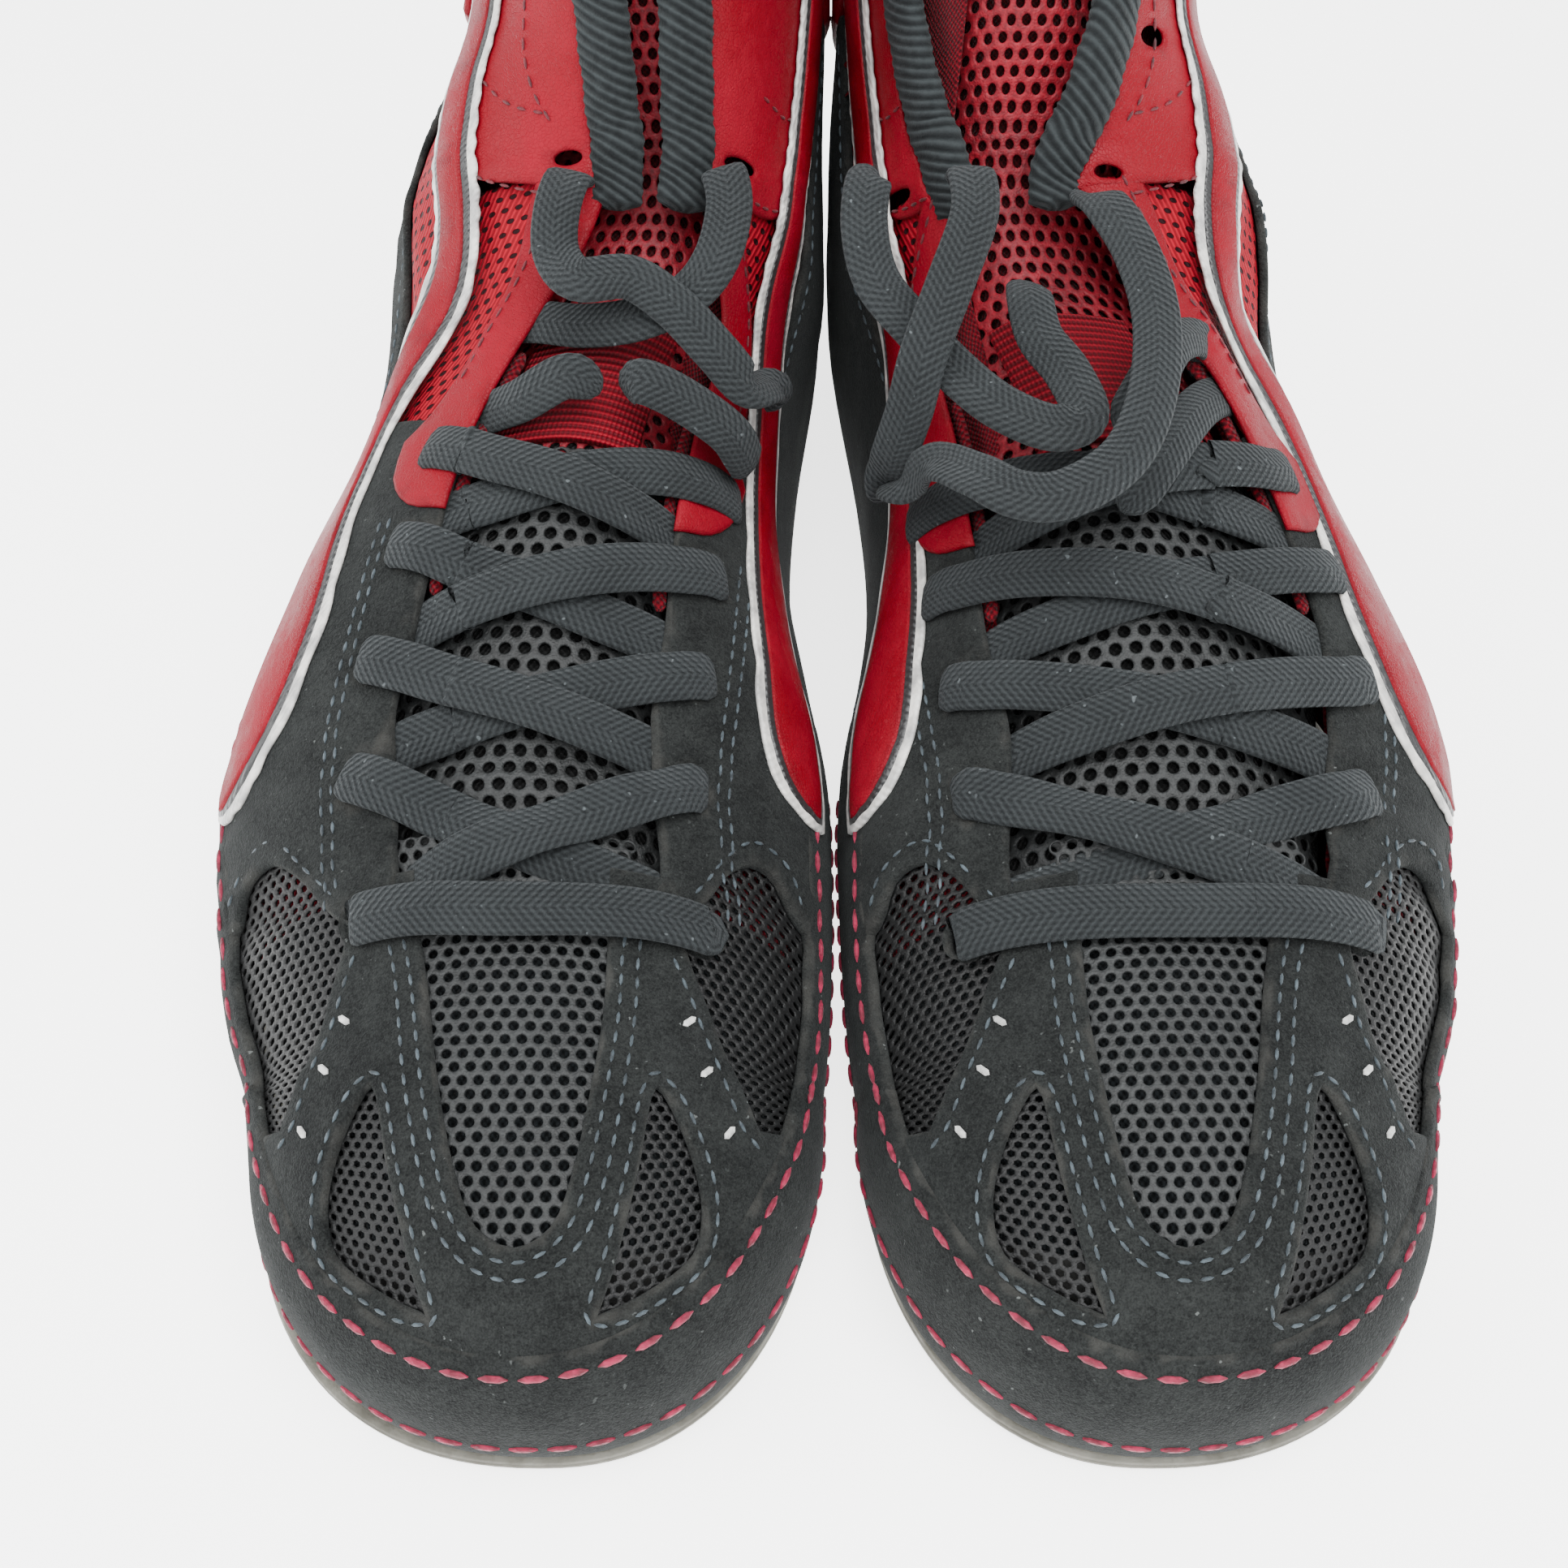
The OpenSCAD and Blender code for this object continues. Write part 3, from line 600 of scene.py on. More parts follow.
def slab(side, rings):
    """A closed slab from sole outlines, each ring given as outward step and height, upwards."""
    shell = Shell()
    outlines = [sole_outline(m)[::-1] * [1, 1] for m, _ in rings]
    n = len(outlines[0])
    walls = np.concatenate([np.column_stack([o, np.full(n, z)]) for o, (_, z) in zip(outlines, rings)])
    if np.sum((outlines[0] - np.roll(outlines[0], 1, 0))[:, 0] * outlines[0][:, 1]) > 0:
        turn = 1
    else:
        turn = -1
    quads = [[i * n + k, i * n + (k + 1) % n, (i + 1) * n + (k + 1) % n, (i + 1) * n + k][::-turn]
             for i in range(len(rings) - 1) for k in range(n)]
    around = np.concatenate([np.linalg.norm(o - np.roll(o, 1, 0), axis=1).cumsum() for o in outlines])
    shell.add(walls * [side, 1, 1], quads, np.stack([around, walls[:, 2]], -1))
    for ring, way in ((0, -1), (len(rings) - 1, 1)):
        flat, triangles = fill([outlines[ring]], 7)
        level = np.column_stack([flat, np.full(len(flat), rings[ring][1])])
        shell.add(level * [side, 1, 1], [list(t)[::way] for t in triangles], flat)
    return shell


def group(name, *sockets):
    """An empty geometry tree with these named inputs, its input and output nodes."""
    tree = bpy.data.node_groups.new(name, "GeometryNodeTree")
    tree.interface.new_socket("Geometry", in_out="INPUT", socket_type="NodeSocketGeometry")
    for label, kind in sockets:
        tree.interface.new_socket(label, in_out="INPUT", socket_type="NodeSocket" + kind)
    tree.interface.new_socket("Geometry", in_out="OUTPUT", socket_type="NodeSocketGeometry")
    return tree, tree.nodes.new("NodeGroupInput"), tree.nodes.new("NodeGroupOutput")


def chain(tree, source, steps):
    """Adds nodes one after another. A step is a node type, its settings and its socket values."""
    last = source
    for kind, settings, values in steps:
        node = tree.nodes.new("GeometryNode" + kind)
        for key, value in settings.items():
            setattr(node, key, value)
        if last is not None:
            tree.links.new(last, node.inputs[0])
        for key, value in values.items():
            if isinstance(value, bpy.types.NodeSocket):
                tree.links.new(value, node.inputs[key])
            else:
                node.inputs[key].default_value = value
        last = node.outputs[0]
    return last


def grown(base, tree, name, finishers=(), **inputs):
    """The plain mesh that a geometry tree makes of the base piece; finishers are later modifiers."""
    modifier = base.modifiers.new("grown", "NODES")
    modifier.node_group = tree
    for item in tree.interface.items_tree:
        key = item.name.replace(" ", "_")
        if item.in_out == "INPUT" and key in inputs:
            modifier[item.identifier] = inputs[key]
    for kind, settings in finishers:
        extra = base.modifiers.new(kind.lower(), kind)
        for key, value in settings.items():
            setattr(extra, key, value)
    bpy.context.view_layer.update()
    shown = base.evaluated_get(bpy.context.evaluated_depsgraph_get())
    mesh = bpy.data.meshes.new_from_object(shown)
    mesh.name = name
    piece = bpy.data.objects.new(name, mesh)
    bpy.context.scene.collection.objects.link(piece)
    bpy.data.objects.remove(base)
    return piece


def lug_tree():
    tree, start, end = group("sole_lugs", ("Lug Width", "Float"), ("Lug Height", "Float"),
                             ("Rubber", "Material"))
    lug = chain(tree, None,
                [("MeshCone", {}, {"Vertices": 6, "Radius Top": 0.0026, "Radius Bottom": start.outputs[1],
                                               "Depth": start.outputs[2]}),
                             ("Transform", {}, {"Rotation": (math.pi, 0, math.pi / 6)})])
    last = chain(tree, start.outputs[0],
                 [("MeshToPoints", {}, {}), ("InstanceOnPoints", {}, {"Instance": lug}),
                                          ("RealizeInstances", {}, {}),
                                          ("SetMaterial", {}, {"Material": start.outputs[3]})])
    tree.links.new(last, end.inputs[0])
    return tree


gum = gum_rubber()
grey_foam = foam("midsole_foam", "3A3E3F", "55595A")
board_fibre = foam("board_fibre", "B79E78", "D2BC97")
sock_cloth = foam("sock_cloth", "26292B", "3B3F42")
lugs = lug_tree()
for boot, side in BOOTS:
    edge = [(-5, 1.2), (-1.2, 1.2), (FLANGE - 1.4, 1.35), (FLANGE - 0.3, 1.9), (FLANGE, 2.5), (FLANGE, 3.2),
            (FLANGE - 0.45, 3.45), (FLANGE - 0.45, 3.7), (FLANGE, 3.9), (FLANGE - 0.3, 4.35),
            (FLANGE - 1, OUTSOLE_T),
            (-6, OUTSOLE_T)]
    sole = slab(side, edge)
    sew_in(sole.piece(f"{boot}_rubber_sole", gum, side), boot, "gum_rubber", "outsole", "outsole_toe")
    rim = sole_outline(-4)
    rows = np.arange(-150, 150, LUG_PITCH * 0.87)
    spots = np.array([(x + (i % 2) * LUG_PITCH / 2, y) for i,
                      y in enumerate(rows) for x in np.arange(0, 110, LUG_PITCH)])
    spots = spots[inside(spots, rim)]
    base = Shell()
    base.add(np.column_stack([spots, np.full(len(spots), 1.4)]) * [side, 1, 1], [])
    tread = grown(base.piece("spots", gum), lugs, f"{boot}_sole_lugs", Lug_Width=0.0036, Lug_Height=0.0014,
                  Rubber=gum)
    sew_in(tread, boot, "gum_rubber")
    middle = [(-5, OUTSOLE_T - 0.1), (-1.6, OUTSOLE_T), (-1.2, 5.2), (-1.4, 6), (-2.2, 6.5), (-6, 6.6)]
    sew_in(slab(side, middle).piece(f"{boot}_foam_midsole", grey_foam, side), boot, "foam", "midsole",
           "midsole_toe")
    board = [(-9, 6.5), (-9, 7.6), (-9.4, 8), (-14, 8)]
    sew_in(slab(side, board).piece(f"{boot}_board", board_fibre, side), boot, "board", "insole_board")
    sock = [(-9, 8), (-8.5, 9.5), (-9, 11), (-10.5, 11.6), (-16, 11.2)]
    sew_in(slab(side, sock).piece(f"{boot}_sock", sock_cloth, side), boot, "sock_cloth", "sockliner")

# --- Cut panels ---
# Each panel of the upper is cut from sheet to a smooth outline, laid on the last over the layer
# below, and has soft rounded cut edges. An outline is a loop of stations and angles; a third
# number marks a corner.
ALONG, ROUND = 13, 0.75     # rough millimetres to a station and to a degree, for even triangles
GRID_S = np.arange(0, TOP_STATION + 0.01, 0.1)
GRID_A = np.arange(-280, 281, 2.0)
chart = on_last(GRID_S[:, None], GRID_A[None, :], 0)
cloth_u = np.concatenate([np.zeros((len(GRID_S), 1)),
                          np.linalg.norm(np.diff(chart, axis=1), axis=2).cumsum(1)], 1)
cloth_u -= cloth_u[:, [len(GRID_A) // 2]]
cloth_v = np.concatenate([[0], np.linalg.norm(np.diff(on_last(GRID_S, 40, 0), axis=0), axis=1).cumsum()])


def cloth_at(s, a):
    """Millimetres across and along the cloth, as if each panel were laid flat."""
    i = np.clip(s / 0.1, 0, len(GRID_S) - 1.001)
    j = np.clip((a + 280) / 2, 0, len(GRID_A) - 1.001)
    i0, j0 = i.astype(int), j.astype(int)
    fi, fj = i - i0, j - j0
    u = (cloth_u[i0, j0] * (1 - fi) + cloth_u[i0 + 1, j0] * fi) * (1 - fj) \
        + (cloth_u[i0, j0 + 1] * (1 - fi) + cloth_u[i0 + 1, j0 + 1] * fi) * fj
    return np.stack([u, np.interp(s, GRID_S, cloth_v)], -1)


def outline(knots, step=1.7):
    """A closed loop of stations and angles, counter-clockwise, smooth but at its corners."""
    p = np.array([k[:2] for k in knots], float)
    n = len(p)
    scale = np.array([ALONG, ROUND])
    size = np.array([np.linalg.norm((p[(i + 1) % n] - p[i]) * scale) for i in range(n)])
    rows = []
    for i in range(n):
        j = (i + 1) % n
        run = p[j] - p[i]
        m0 = (p[j] - p[i - 1]) * size[i] / (size[i] + size[i - 1])
        m1 = (p[(i + 2) % n] - p[i]) * size[i] / (size[i] + size[j])
        m0 = run if len(knots[i]) > 2 else m0
        m1 = run if len(knots[j]) > 2 else m1
        t = np.linspace(0, 1, max(2, int(size[i] / step)), endpoint=False)[:, None]
        rows.append((2 * t ** 3 - 3 * t * t + 1) * p[i] + (t ** 3 - 2 * t * t + t) * m0
                    + (3 * t * t - 2 * t ** 3) * p[j] + (t ** 3 - t * t) * m1)
    loop = np.concatenate(rows)
    s, a = loop[:, 0], loop[:, 1]
    return loop if np.sum(a * np.roll(s, -1) - s * np.roll(a, -1)) > 0 else loop[::-1]


def moved_in(loop, by):
    """The loop moved to its left by so many millimetres, which is into the cloth."""
    s, a = loop[:, 0], loop[:, 1]
    e = 0.01
    run_s = (on_last(s + e, a, 0) - on_last(s - e, a, 0)) / (2 * e)
    run_a = (on_last(s, a + 0.5, 0) - on_last(s, a - 0.5, 0))
    p = on_last(s, a, 0)
    along = unit(np.roll(p, -1, 0) - np.roll(p, 1, 0))
    inward = unit(np.cross(np.cross(run_a, run_s), along)) * np.reshape(by, (-1, 1))
    ss, sa, aa = ((x * y).sum(1) for x, y in ((run_s, run_s), (run_s, run_a), (run_a, run_a)))
    vs, va = (run_s * inward).sum(1), (run_a * inward).sum(1)
    det = np.maximum(ss * aa - sa * sa, 1e-4)
    step = np.stack([(vs * aa - va * sa) / det, (va * ss - vs * sa) / det], -1)
    return loop + np.clip(step, [-1, -14], [1, 14])


def flipped(knots):
    return [(k[0], -k[1], *k[2:]) for k in knots]


def panel(shell, side, knots, low, thick, holes=(), spacing=2.6, soft=0.8, lift=None):
    """Adds one cut panel to the shell, its underside at a height or following a function of
    stations and angles; lift raises its face alone."""
    base = low if callable(low) else lambda s, a: low + 0.0 * s
    loops = [outline(knots)] + [outline(h)[::-1] for h in holes]
    insets = [moved_in(loop, soft) for loop in loops]
    scale = np.array([ROUND, ALONG])
    flat, triangles = fill([loop[:, ::-1] * scale for loop in insets], spacing)
    s, a = flat[:, 1] / ALONG, flat[:, 0] / ROUND
    rim = np.concatenate(loops)[:, ::-1] * scale
    gap = np.array([np.min(np.abs(rim - p).max(1)) for p in flat])
    extra = np.zeros(len(s)) if lift is None else lift(s, a)
    top = skin(side, s, a, base(s, a) + thick + extra)
    under = skin(side, s, a, base(s, a))
    cloth = cloth_at(s, a)
    wear = np.exp(-gap / 2.2)
    shell.add(top, [list(t) for t in triangles], cloth, wear)
    shell.add(under, [list(t)[::-1] for t in triangles], cloth)
    for loop, inset in zip(loops, insets):
        n = len(loop)
        rings = []
        for share, height in ((1, 1.0), (0.45, 0.86), (0.1, 0.62), (0, 0.3), (0.25, 0.0)):
            q = loop + (inset - loop) * share
            more = 0 if lift is None else lift(q[:, 0], q[:, 1])
            rings.append((skin(side, *q.T, base(*q.T) + (thick + more) * height), cloth_at(*q.T)))
        rings.append((skin(side, *inset.T, base(*inset.T)), cloth_at(*inset.T)))
        faces = [[(i + 1) * n + k, (i + 1) * n + (k + 1) % n, i * n + (k + 1) % n, i * n + k]
                 for i in range(len(rings) - 1) for k in range(n)]
        shell.add(np.concatenate([r[0] for r in rings]), faces, np.concatenate([r[1] for r in rings]),
                  np.ones(n * len(rings)))


def welded(piece):
    """Joins the panel's rim to its faces, so that the shell is closed."""
    work = bmesh.new()
    work.from_mesh(piece.data)
    bmesh.ops.remove_doubles(work, verts=work.verts, dist=2e-6)
    work.to_mesh(piece.data)
    work.free()
    return piece


def suede(name, dark, light, worn):
    f = Finish(name, roughness=0.97, sheen=0.08, specular=0.1, sheen_tint="9A9F9F")
    brushed = (f.noise(40, 3) * 0.5 + f.noise(190, 4) * 0.6).step(0.3, 0.85)
    nap = f.noise(3400, 2)
    fibre = f.noise(1500, 3, distortion=0.6)
    tone = f.mix((brushed * 0.2 + nap * 0.5 + fibre * 0.45).step(0.32, 0.9), dark, light)
    lint = (f.noise(800, 2).step(0.70, 0.76) * f.noise(40, 2).step(0.4, 0.65)) * 0.35
    rubbed = (f.edge() * (f.noise(160, 3) * 1.4)).step(0.5, 1.0) * 0.4
    colour = f.mix(lint, f.mix(rubbed, tone, worn), "7C817F")
    return f.done(colour, nap * 0.6 + fibre * 0.8, 0.0005, 0.9)


def red_hide():
    f = Finish("red_hide", roughness=0.7, specular=0.12)
    grain = f.node("TexVoronoi", {"feature": "DISTANCE_TO_EDGE"}, {"Vector": f.place(), "Scale": 1500})
    faded = (f.noise(45, 4) * 0.8 + f.noise(400, 3) * 0.3).step(0.4, 0.8)
    rubbed = (f.edge() * f.noise(220, 3)).step(0.3, 0.75) * 0.5
    colour = f.mix(rubbed, f.mix(faded, "6A0312", "78061A"), "48020A")
    creases = f.noise(140, 4, distortion=1.2)
    return f.done(colour, grain.step(0, 0.12) * 0.4 + creases * 1.4, 0.0005, 0.5,
                  faded.step(0, 1, 0.42, 0.62))


black_suede = suede("black_suede", "0C0D0D", "292B2A", "3F3E3B")
red_leather = red_hide()

# --- Linings and stiffeners ---
# Black knit lines the toe and red towelling lines the shaft. A white puff and counter are
# pressed between lining and upper, to hold the shape of toe and heel.


def towelling(name, dark, light):
    f = Finish(name, roughness=0.98, sheen=0.04, specular=0.1)
    across, along = f.cloth()
    loops = ((across * 5.5 + f.noise(500, 2) * 3).wave() * (along * 5.0
                                                            + f.noise(700, 2) * 3).wave()) * 0.5 + 0.5
    return f.done(f.mix((loops * 0.7 + f.noise(150) * 0.4).step(0.2, 0.95), dark, light),
                  loops + f.noise(2500), 0.0007, 0.8)


lining_black = towelling("lining_black", "0D0F10", "24282A")
lining_red = towelling("lining_red", "33020A", "6C0616")
stiff_sheet = foam("stiff_sheet", "1C1C1B", "2B2B2A")
LINING = -4.6
for boot, side in BOOTS:
    shell = Shell()
    panel(shell, side, [(0.45, -92, 0), (0.45, 92, 0), (2, 100), (4, 106), (7.4, 112, 0), (7.4, -112, 0),
                        (4, -106),
                        (2, -100)], LINING, 1.0, spacing=5)
    sew_in(welded(shell.piece(f"{boot}_toe_lining_knit", lining_black, side)), boot, "black_lining",
           "toe_lining")
    shell = Shell()
    panel(shell, side, [(0.5, -80, 0), (0.5, 80, 0), (2, 70), (3.3, 50), (3.5, 0), (3.3, -50), (2, -70)],
          -2.9, 0.8,
          spacing=5)
    sew_in(welded(shell.piece(f"{boot}_puff", stiff_sheet, side)), boot, "stiffener", "toe_puff")
    shell = Shell()
    panel(shell, side, [(13, 118, 0), (14, 110), (15, 106), (16.4, 112, 0), (16.7, 180), (16.4, 248, 0),
                        (15, 254),
                        (14, 250), (13, 242, 0), (14, 220, 0), (15, 180), (14, 140, 0), (13, 138, 0)],
                        -2.9, 0.8, spacing=5)
    sew_in(welded(shell.piece(f"{boot}_counter_sheet", stiff_sheet, side)), boot, "stiffener",
           "heel_stiffener")
    for way, place in ((1, "lateral"), (-1, "medial")):
        knots = [(7.25, 36, 0), (8, 37), (10, 35), (11, 31), (12, 27), (13, 24), (15, 22), (19.75, 24, 0),
                 (19.75, 180, 0), (15.2, 180, 0), (14.2, 150), (13, 138), (11, 124), (8, 114), (7.25, 112, 0)]
        shell = Shell()
        panel(shell, side, knots if way > 0 else flipped(knots), LINING, 1.0, spacing=4)
        sew_in(welded(shell.piece(f"{boot}_shaft_lining_{place}", lining_red, side)), boot, "red_lining",
               f"quarter_lining_{place}")

# --- Open mesh ---
# Knitted spacer mesh: a honeycomb of yarn round open holes. It fills the windows of the vamp and
# makes the face of the tongue, over a darker backing.


def honeycomb(side, keep, s_range, across, pitch, height):
    """A patch of hexagons on the last, flat to flat pitch millimetres, where keep says so."""
    row_s = np.interp(np.arange(np.interp(s_range[0], GRID_S, ridge_v),
                                np.interp(s_range[1], GRID_S, ridge_v),
                                pitch * 0.866 / 3), ridge_v, GRID_S)
    shell = Shell()
    points, faces, seen = [], [], {}
    columns = int((across[1] - across[0]) / (pitch / 2)) + 1

    def corner(i, j):
        if (i, j) not in seen:
            seen[(i, j)] = len(points)
            points.append((row_s[j], across[0] + i * pitch / 2))
        return seen[(i, j)]
    for row in range(1, (len(row_s) - 3) // 3):
        for i in range(2 - row % 2, columns - 2, 2):
            j = row * 3
            around = [(i, j - 2), (i + 1, j - 1), (i + 1, j + 1), (i, j + 2), (i - 1, j + 1), (i - 1, j - 1)]
            if keep(row_s[j], across[0] + i * pitch / 2):
                faces.append([corner(*c) for c in around])
    p = np.array(points)
    a = angle_at(p[:, 0], p[:, 1])
    d = height(p[:, 0], p[:, 1]) if callable(height) else height
    shell.add(skin(side, p[:, 0], a, d), faces, np.stack([p[:, 1], p[:, 0] * ALONG], -1))
    return shell


def mesh_tree():
    tree, start, end = group("open_mesh", ("Hole", "Float"), ("Yarn", "Material"))
    extrude = tree.nodes.new("GeometryNodeExtrudeMesh")
    extrude.inputs["Offset Scale"].default_value = 0.0
    extrude.inputs["Individual"].default_value = True
    shrink = tree.nodes.new("GeometryNodeScaleElements")
    cut = tree.nodes.new("GeometryNodeDeleteGeometry")
    cut.domain = "FACE"
    weld = tree.nodes.new("GeometryNodeMergeByDistance")
    weld.inputs["Distance"].default_value = 1e-6
    tree.links.new(start.outputs[0], extrude.inputs["Mesh"])
    tree.links.new(extrude.outputs["Mesh"], shrink.inputs["Geometry"])
    tree.links.new(extrude.outputs["Top"], shrink.inputs["Selection"])
    tree.links.new(start.outputs[1], shrink.inputs["Scale"])
    tree.links.new(shrink.outputs[0], cut.inputs["Geometry"])
    tree.links.new(extrude.outputs["Top"], cut.inputs["Selection"])
    tree.links.new(cut.outputs[0], weld.inputs["Geometry"])
    last = chain(tree, weld.outputs[0],
                 [("RealizeInstances", {}, {}), ("SetMaterial", {}, {"Material": start.outputs[2]})])
    tree.links.new(last, end.inputs[0])
    return tree


def yarn(name, dark, light, sheen="A0A0A0"):
    f = Finish(name, roughness=0.55, sheen=0.04, specular=0.3, sheen_tint=sheen)
    return f.done(f.mix((f.noise(1400, 2) * 0.8 + f.noise(80) * 0.5).step(0.35, 0.95), dark, light),
                  f.noise(2600, 2), 0.0003, 0.6)


ridge_v = np.concatenate([[0], np.linalg.norm(np.diff(on_last(GRID_S, 0, 0), axis=0), axis=1).cumsum()])
open_mesh = mesh_tree()
black_yarn = yarn("black_yarn", "0C0D0D", "242626")
fine_yarn = yarn("fine_black_yarn", "040404", "0E0F0F")
red_yarn = yarn("red_yarn", "4A020D", "7E0419")
KNIT = (("SOLIDIFY", {"thickness": 0.0007, "offset": 0.0, "use_even_offset": False}),
        ("SUBSURF", {"levels": 1, "render_levels": 1}))


def within(loop_knots):
    loop = outline(loop_knots)[:, ::-1]
    return lambda s, across: bool(inside(np.array([[float(angle_at(s, across)), s]]), loop)[0])


# --- Vamp ---
# The toe is open mesh under a suede frame: a wide centre window, a leaf-shaped window on each
# side of it, and a side window below the lacing. Suede frame and rand are stitched down over it.
CENTRE_WINDOW = [(7.3, 18.5), (6.6, 18), (5.8, 17.2), (4.93, 14.6), (4.25, 10.8), (3.88, 7), (3.72, 0)]
LEAF_WINDOW = [(5.08, 28.5), (4.75, 32.8), (4.25, 36.5), (3.8, 37.5), (3.42, 35), (3.2, 25), (3.08, 15.5, 0),
               (3.5, 19), (3.95, 22), (4.4, 24.8), (4.8, 26.6)]
SIDE_WINDOW = [(7.52, 42), (7.3, 36.5), (6.95, 33), (6.3, 38.5), (5.5, 45), (4.85, 49.5), (4.62, 52),
               (4.6, 61),
               (5.4, 67), (6.5, 69), (7.45, 66), (7.7, 58), (7.66, 49)]
vamp_frame = ([(2.45, 0), (2.6, 22), (2.85, 38), (3.3, 50), (3.8, 58), (4.5, 64, 0), (4.62, 53, 0),
               (5.5, 45.6),
               (6.3, 39), (6.9, 33.6), (7.32, 31, 0), (7.32, 18.5, 0)] + CENTRE_WINDOW[1:]
              + flipped(CENTRE_WINDOW[1:-1])[::-1]
              + flipped([(7.32, 31, 0), (7.32, 18.5, 0)])[::-1]
              + flipped([(2.6, 22), (2.85, 38), (3.3, 50), (3.8, 58), (4.5, 64, 0), (4.62, 53, 0),
                         (5.5, 45.6),
                         (6.3, 39), (6.9, 33.6)])[::-1])
RAND_TOP = [(2.78, 0), (2.84, 14), (3.05, 28), (3.4, 41), (4.0, 53), (4.7, 62), (5.9, 68), (7, 69), (8.1, 67),
            (8.9, 65), (9.5, 69, 0)]
RAND_LOW = [(9.5, feather(9.5), 0), (8, feather(8)), (6.8, feather(6.8)), (5, feather(5)), (1.5, 104),
            (0.05, 96, 0),
            (0.05, 75), (0.05, 40)]
for boot, side in BOOTS:
    centre = honeycomb(side, within([(3.4, -12), (3.4, 12), (4.2, 18), (5.5, 24), (7.5, 24, 0),
                                     (7.5, -24, 0), (5.5, -24),
                                     (4.2, -18)]), (3.2, 7.7), (-24, 24), 2.35, 0.9)
    piece = grown(centre.piece("patch", black_yarn, side), open_mesh, f"{boot}_vamp_mesh_knit", KNIT,
                  Hole=0.62, Yarn=black_yarn)
    sew_in(piece, boot, "black_mesh", "vamp_mesh")
    sides = Shell()
    for way in (1, -1):
        for window, reach in ((LEAF_WINDOW, (2.8, 5.5)), (SIDE_WINDOW, (4.2, 8.1))):
            grow = moved_in(outline(window), -3.2)
            loop = (grow * [1, way])[:, ::-1]
            keep = lambda s, across: bool(inside(np.array([[float(angle_at(s, across)), s]]), loop)[0])
            patch = honeycomb(side, keep, reach, (8, 52) if way > 0 else (-52, -8), 1.75, 0.7)
            sides.add(patch.points[0], patch.faces, patch.cloth[0])
    piece = grown(sides.piece("patch", fine_yarn, side), open_mesh, f"{boot}_side_mesh_knit",
                  (("SOLIDIFY", {"thickness": 0.0005, "offset": 0.0, "use_even_offset": False}),),
                  Hole=0.6, Yarn=fine_yarn)
    sew_in(piece, boot, "fine_mesh", "side_mesh")
    shell = Shell()
    panel(shell, side, vamp_frame, 1.1, 1.3, holes=(LEAF_WINDOW, flipped(LEAF_WINDOW)), spacing=2.4)
    sew_in(welded(shell.piece(f"{boot}_vamp_frame", black_suede, side)), boot, "suede", "vamp_overlay")
    shell = Shell()
    rand = RAND_TOP + RAND_LOW + flipped(RAND_LOW)[::-1] + flipped(RAND_TOP[1:])[::-1]
    panel(shell, side, rand, 1.2, 1.6, spacing=2.6, soft=1.0)
    sew_in(welded(shell.piece(f"{boot}_rand_suede", black_suede, side)), boot, "suede", "toe_rand")

# --- Eyestays ---
# Suede carries the lower four pairs of punched eyelets and reaches down to the rand. Red hide
# carries the two pairs above, stitched over the top of the suede.
HOLE_R = 2.3


def throat_edge(boot, way, stations_list, out=0.0):
    return [(s, float(angle_at(s, throat(boot, s, way) + way * out))) for s in stations_list]


def round_hole(s, across, radius):
    points = []
    for turn in np.linspace(0, 2 * math.pi, 10, endpoint=False):
        at = s + radius * math.sin(turn) / 14.5
        points.append((at, float(angle_at(at, across + radius * math.cos(turn)))))
    return points


for boot, side in BOOTS:
    lower, upper = Shell(), Shell()
    for way in (1, -1):
        edge = throat_edge(boot, way, [10.7, 10.2, 9.6, 9.0, 8.4, 7.8, 7.3])
        outer = [(7.02, 24), (6.98, 31), (7.2, 37.5), (7.46, 43.5), (7.6, 50), (7.58, 58), (7.4, 66),
                 (7.35, 74, 0),
                 (8.2, 78), (9.3, 83, 0), (9.5, 66), (10, 55), (10.6, 48), (11.15, 43, 0)]
        if way < 0:
            outer = flipped(outer[:-4] + [(9.5, 68), (10, 63), (10.6, 59), (11.15, 56, 0)])
        knots = [(*edge[0], 0)] + edge[1:] + outer
        holes = [round_hole(*eyelet(boot, row, way), HOLE_R) for row in range(4)]
        panel(lower, side, knots, 1.2, 1.5, holes=holes, spacing=2.4,
              lift=lambda s, a: 0.5 * np.exp(-((s - 7.0) / 0.25) ** 2))
        edge = throat_edge(boot, way, [13.3, 12.4, 11.6, 10.8, 10.2, 9.95], out=-0.6)
        outer = [(s, a + way * further) for (s, a), further in
                 zip(throat_edge(boot, way, [10.1, 10.4, 10.75, 10.95, 11.3, 11.9, 12.6, 13.35]),
                     (8, 14, 16, 12.5, 10.5, 10.5, 11.5, 12))]
        outer = [(*k, 0) if i in (2, 7) else k for i, k in enumerate(outer)]
        knots = [(*edge[0], 0)] + edge[1:-1] + [(*edge[-1], 0)] + outer
        panel(upper, side, knots, 2.5, 1.2, spacing=2.6)
    sew_in(welded(lower.piece(f"{boot}_suede_eyestay", black_suede, side)), boot, "suede", "lower_eyestay")
    sew_in(welded(upper.piece(f"{boot}_red_eyestay", red_leather, side)), boot, "red_leather",
           "upper_eyestay")
    terry = Shell()
    for way in (1, -1):
        route = [(s, throat(boot, s, way) - way * 0.9, 0.6) for s in (9.3, 9.8, 10.3, 10.8, 11.3)]
        points, up = lay_on(side, route, 1.0)
        sweep(terry, points, up, 2.6, 1.6, sides=8)
    sew_in(terry.piece(f"{boot}_lining_edge", lining_red), boot, "red_lining")

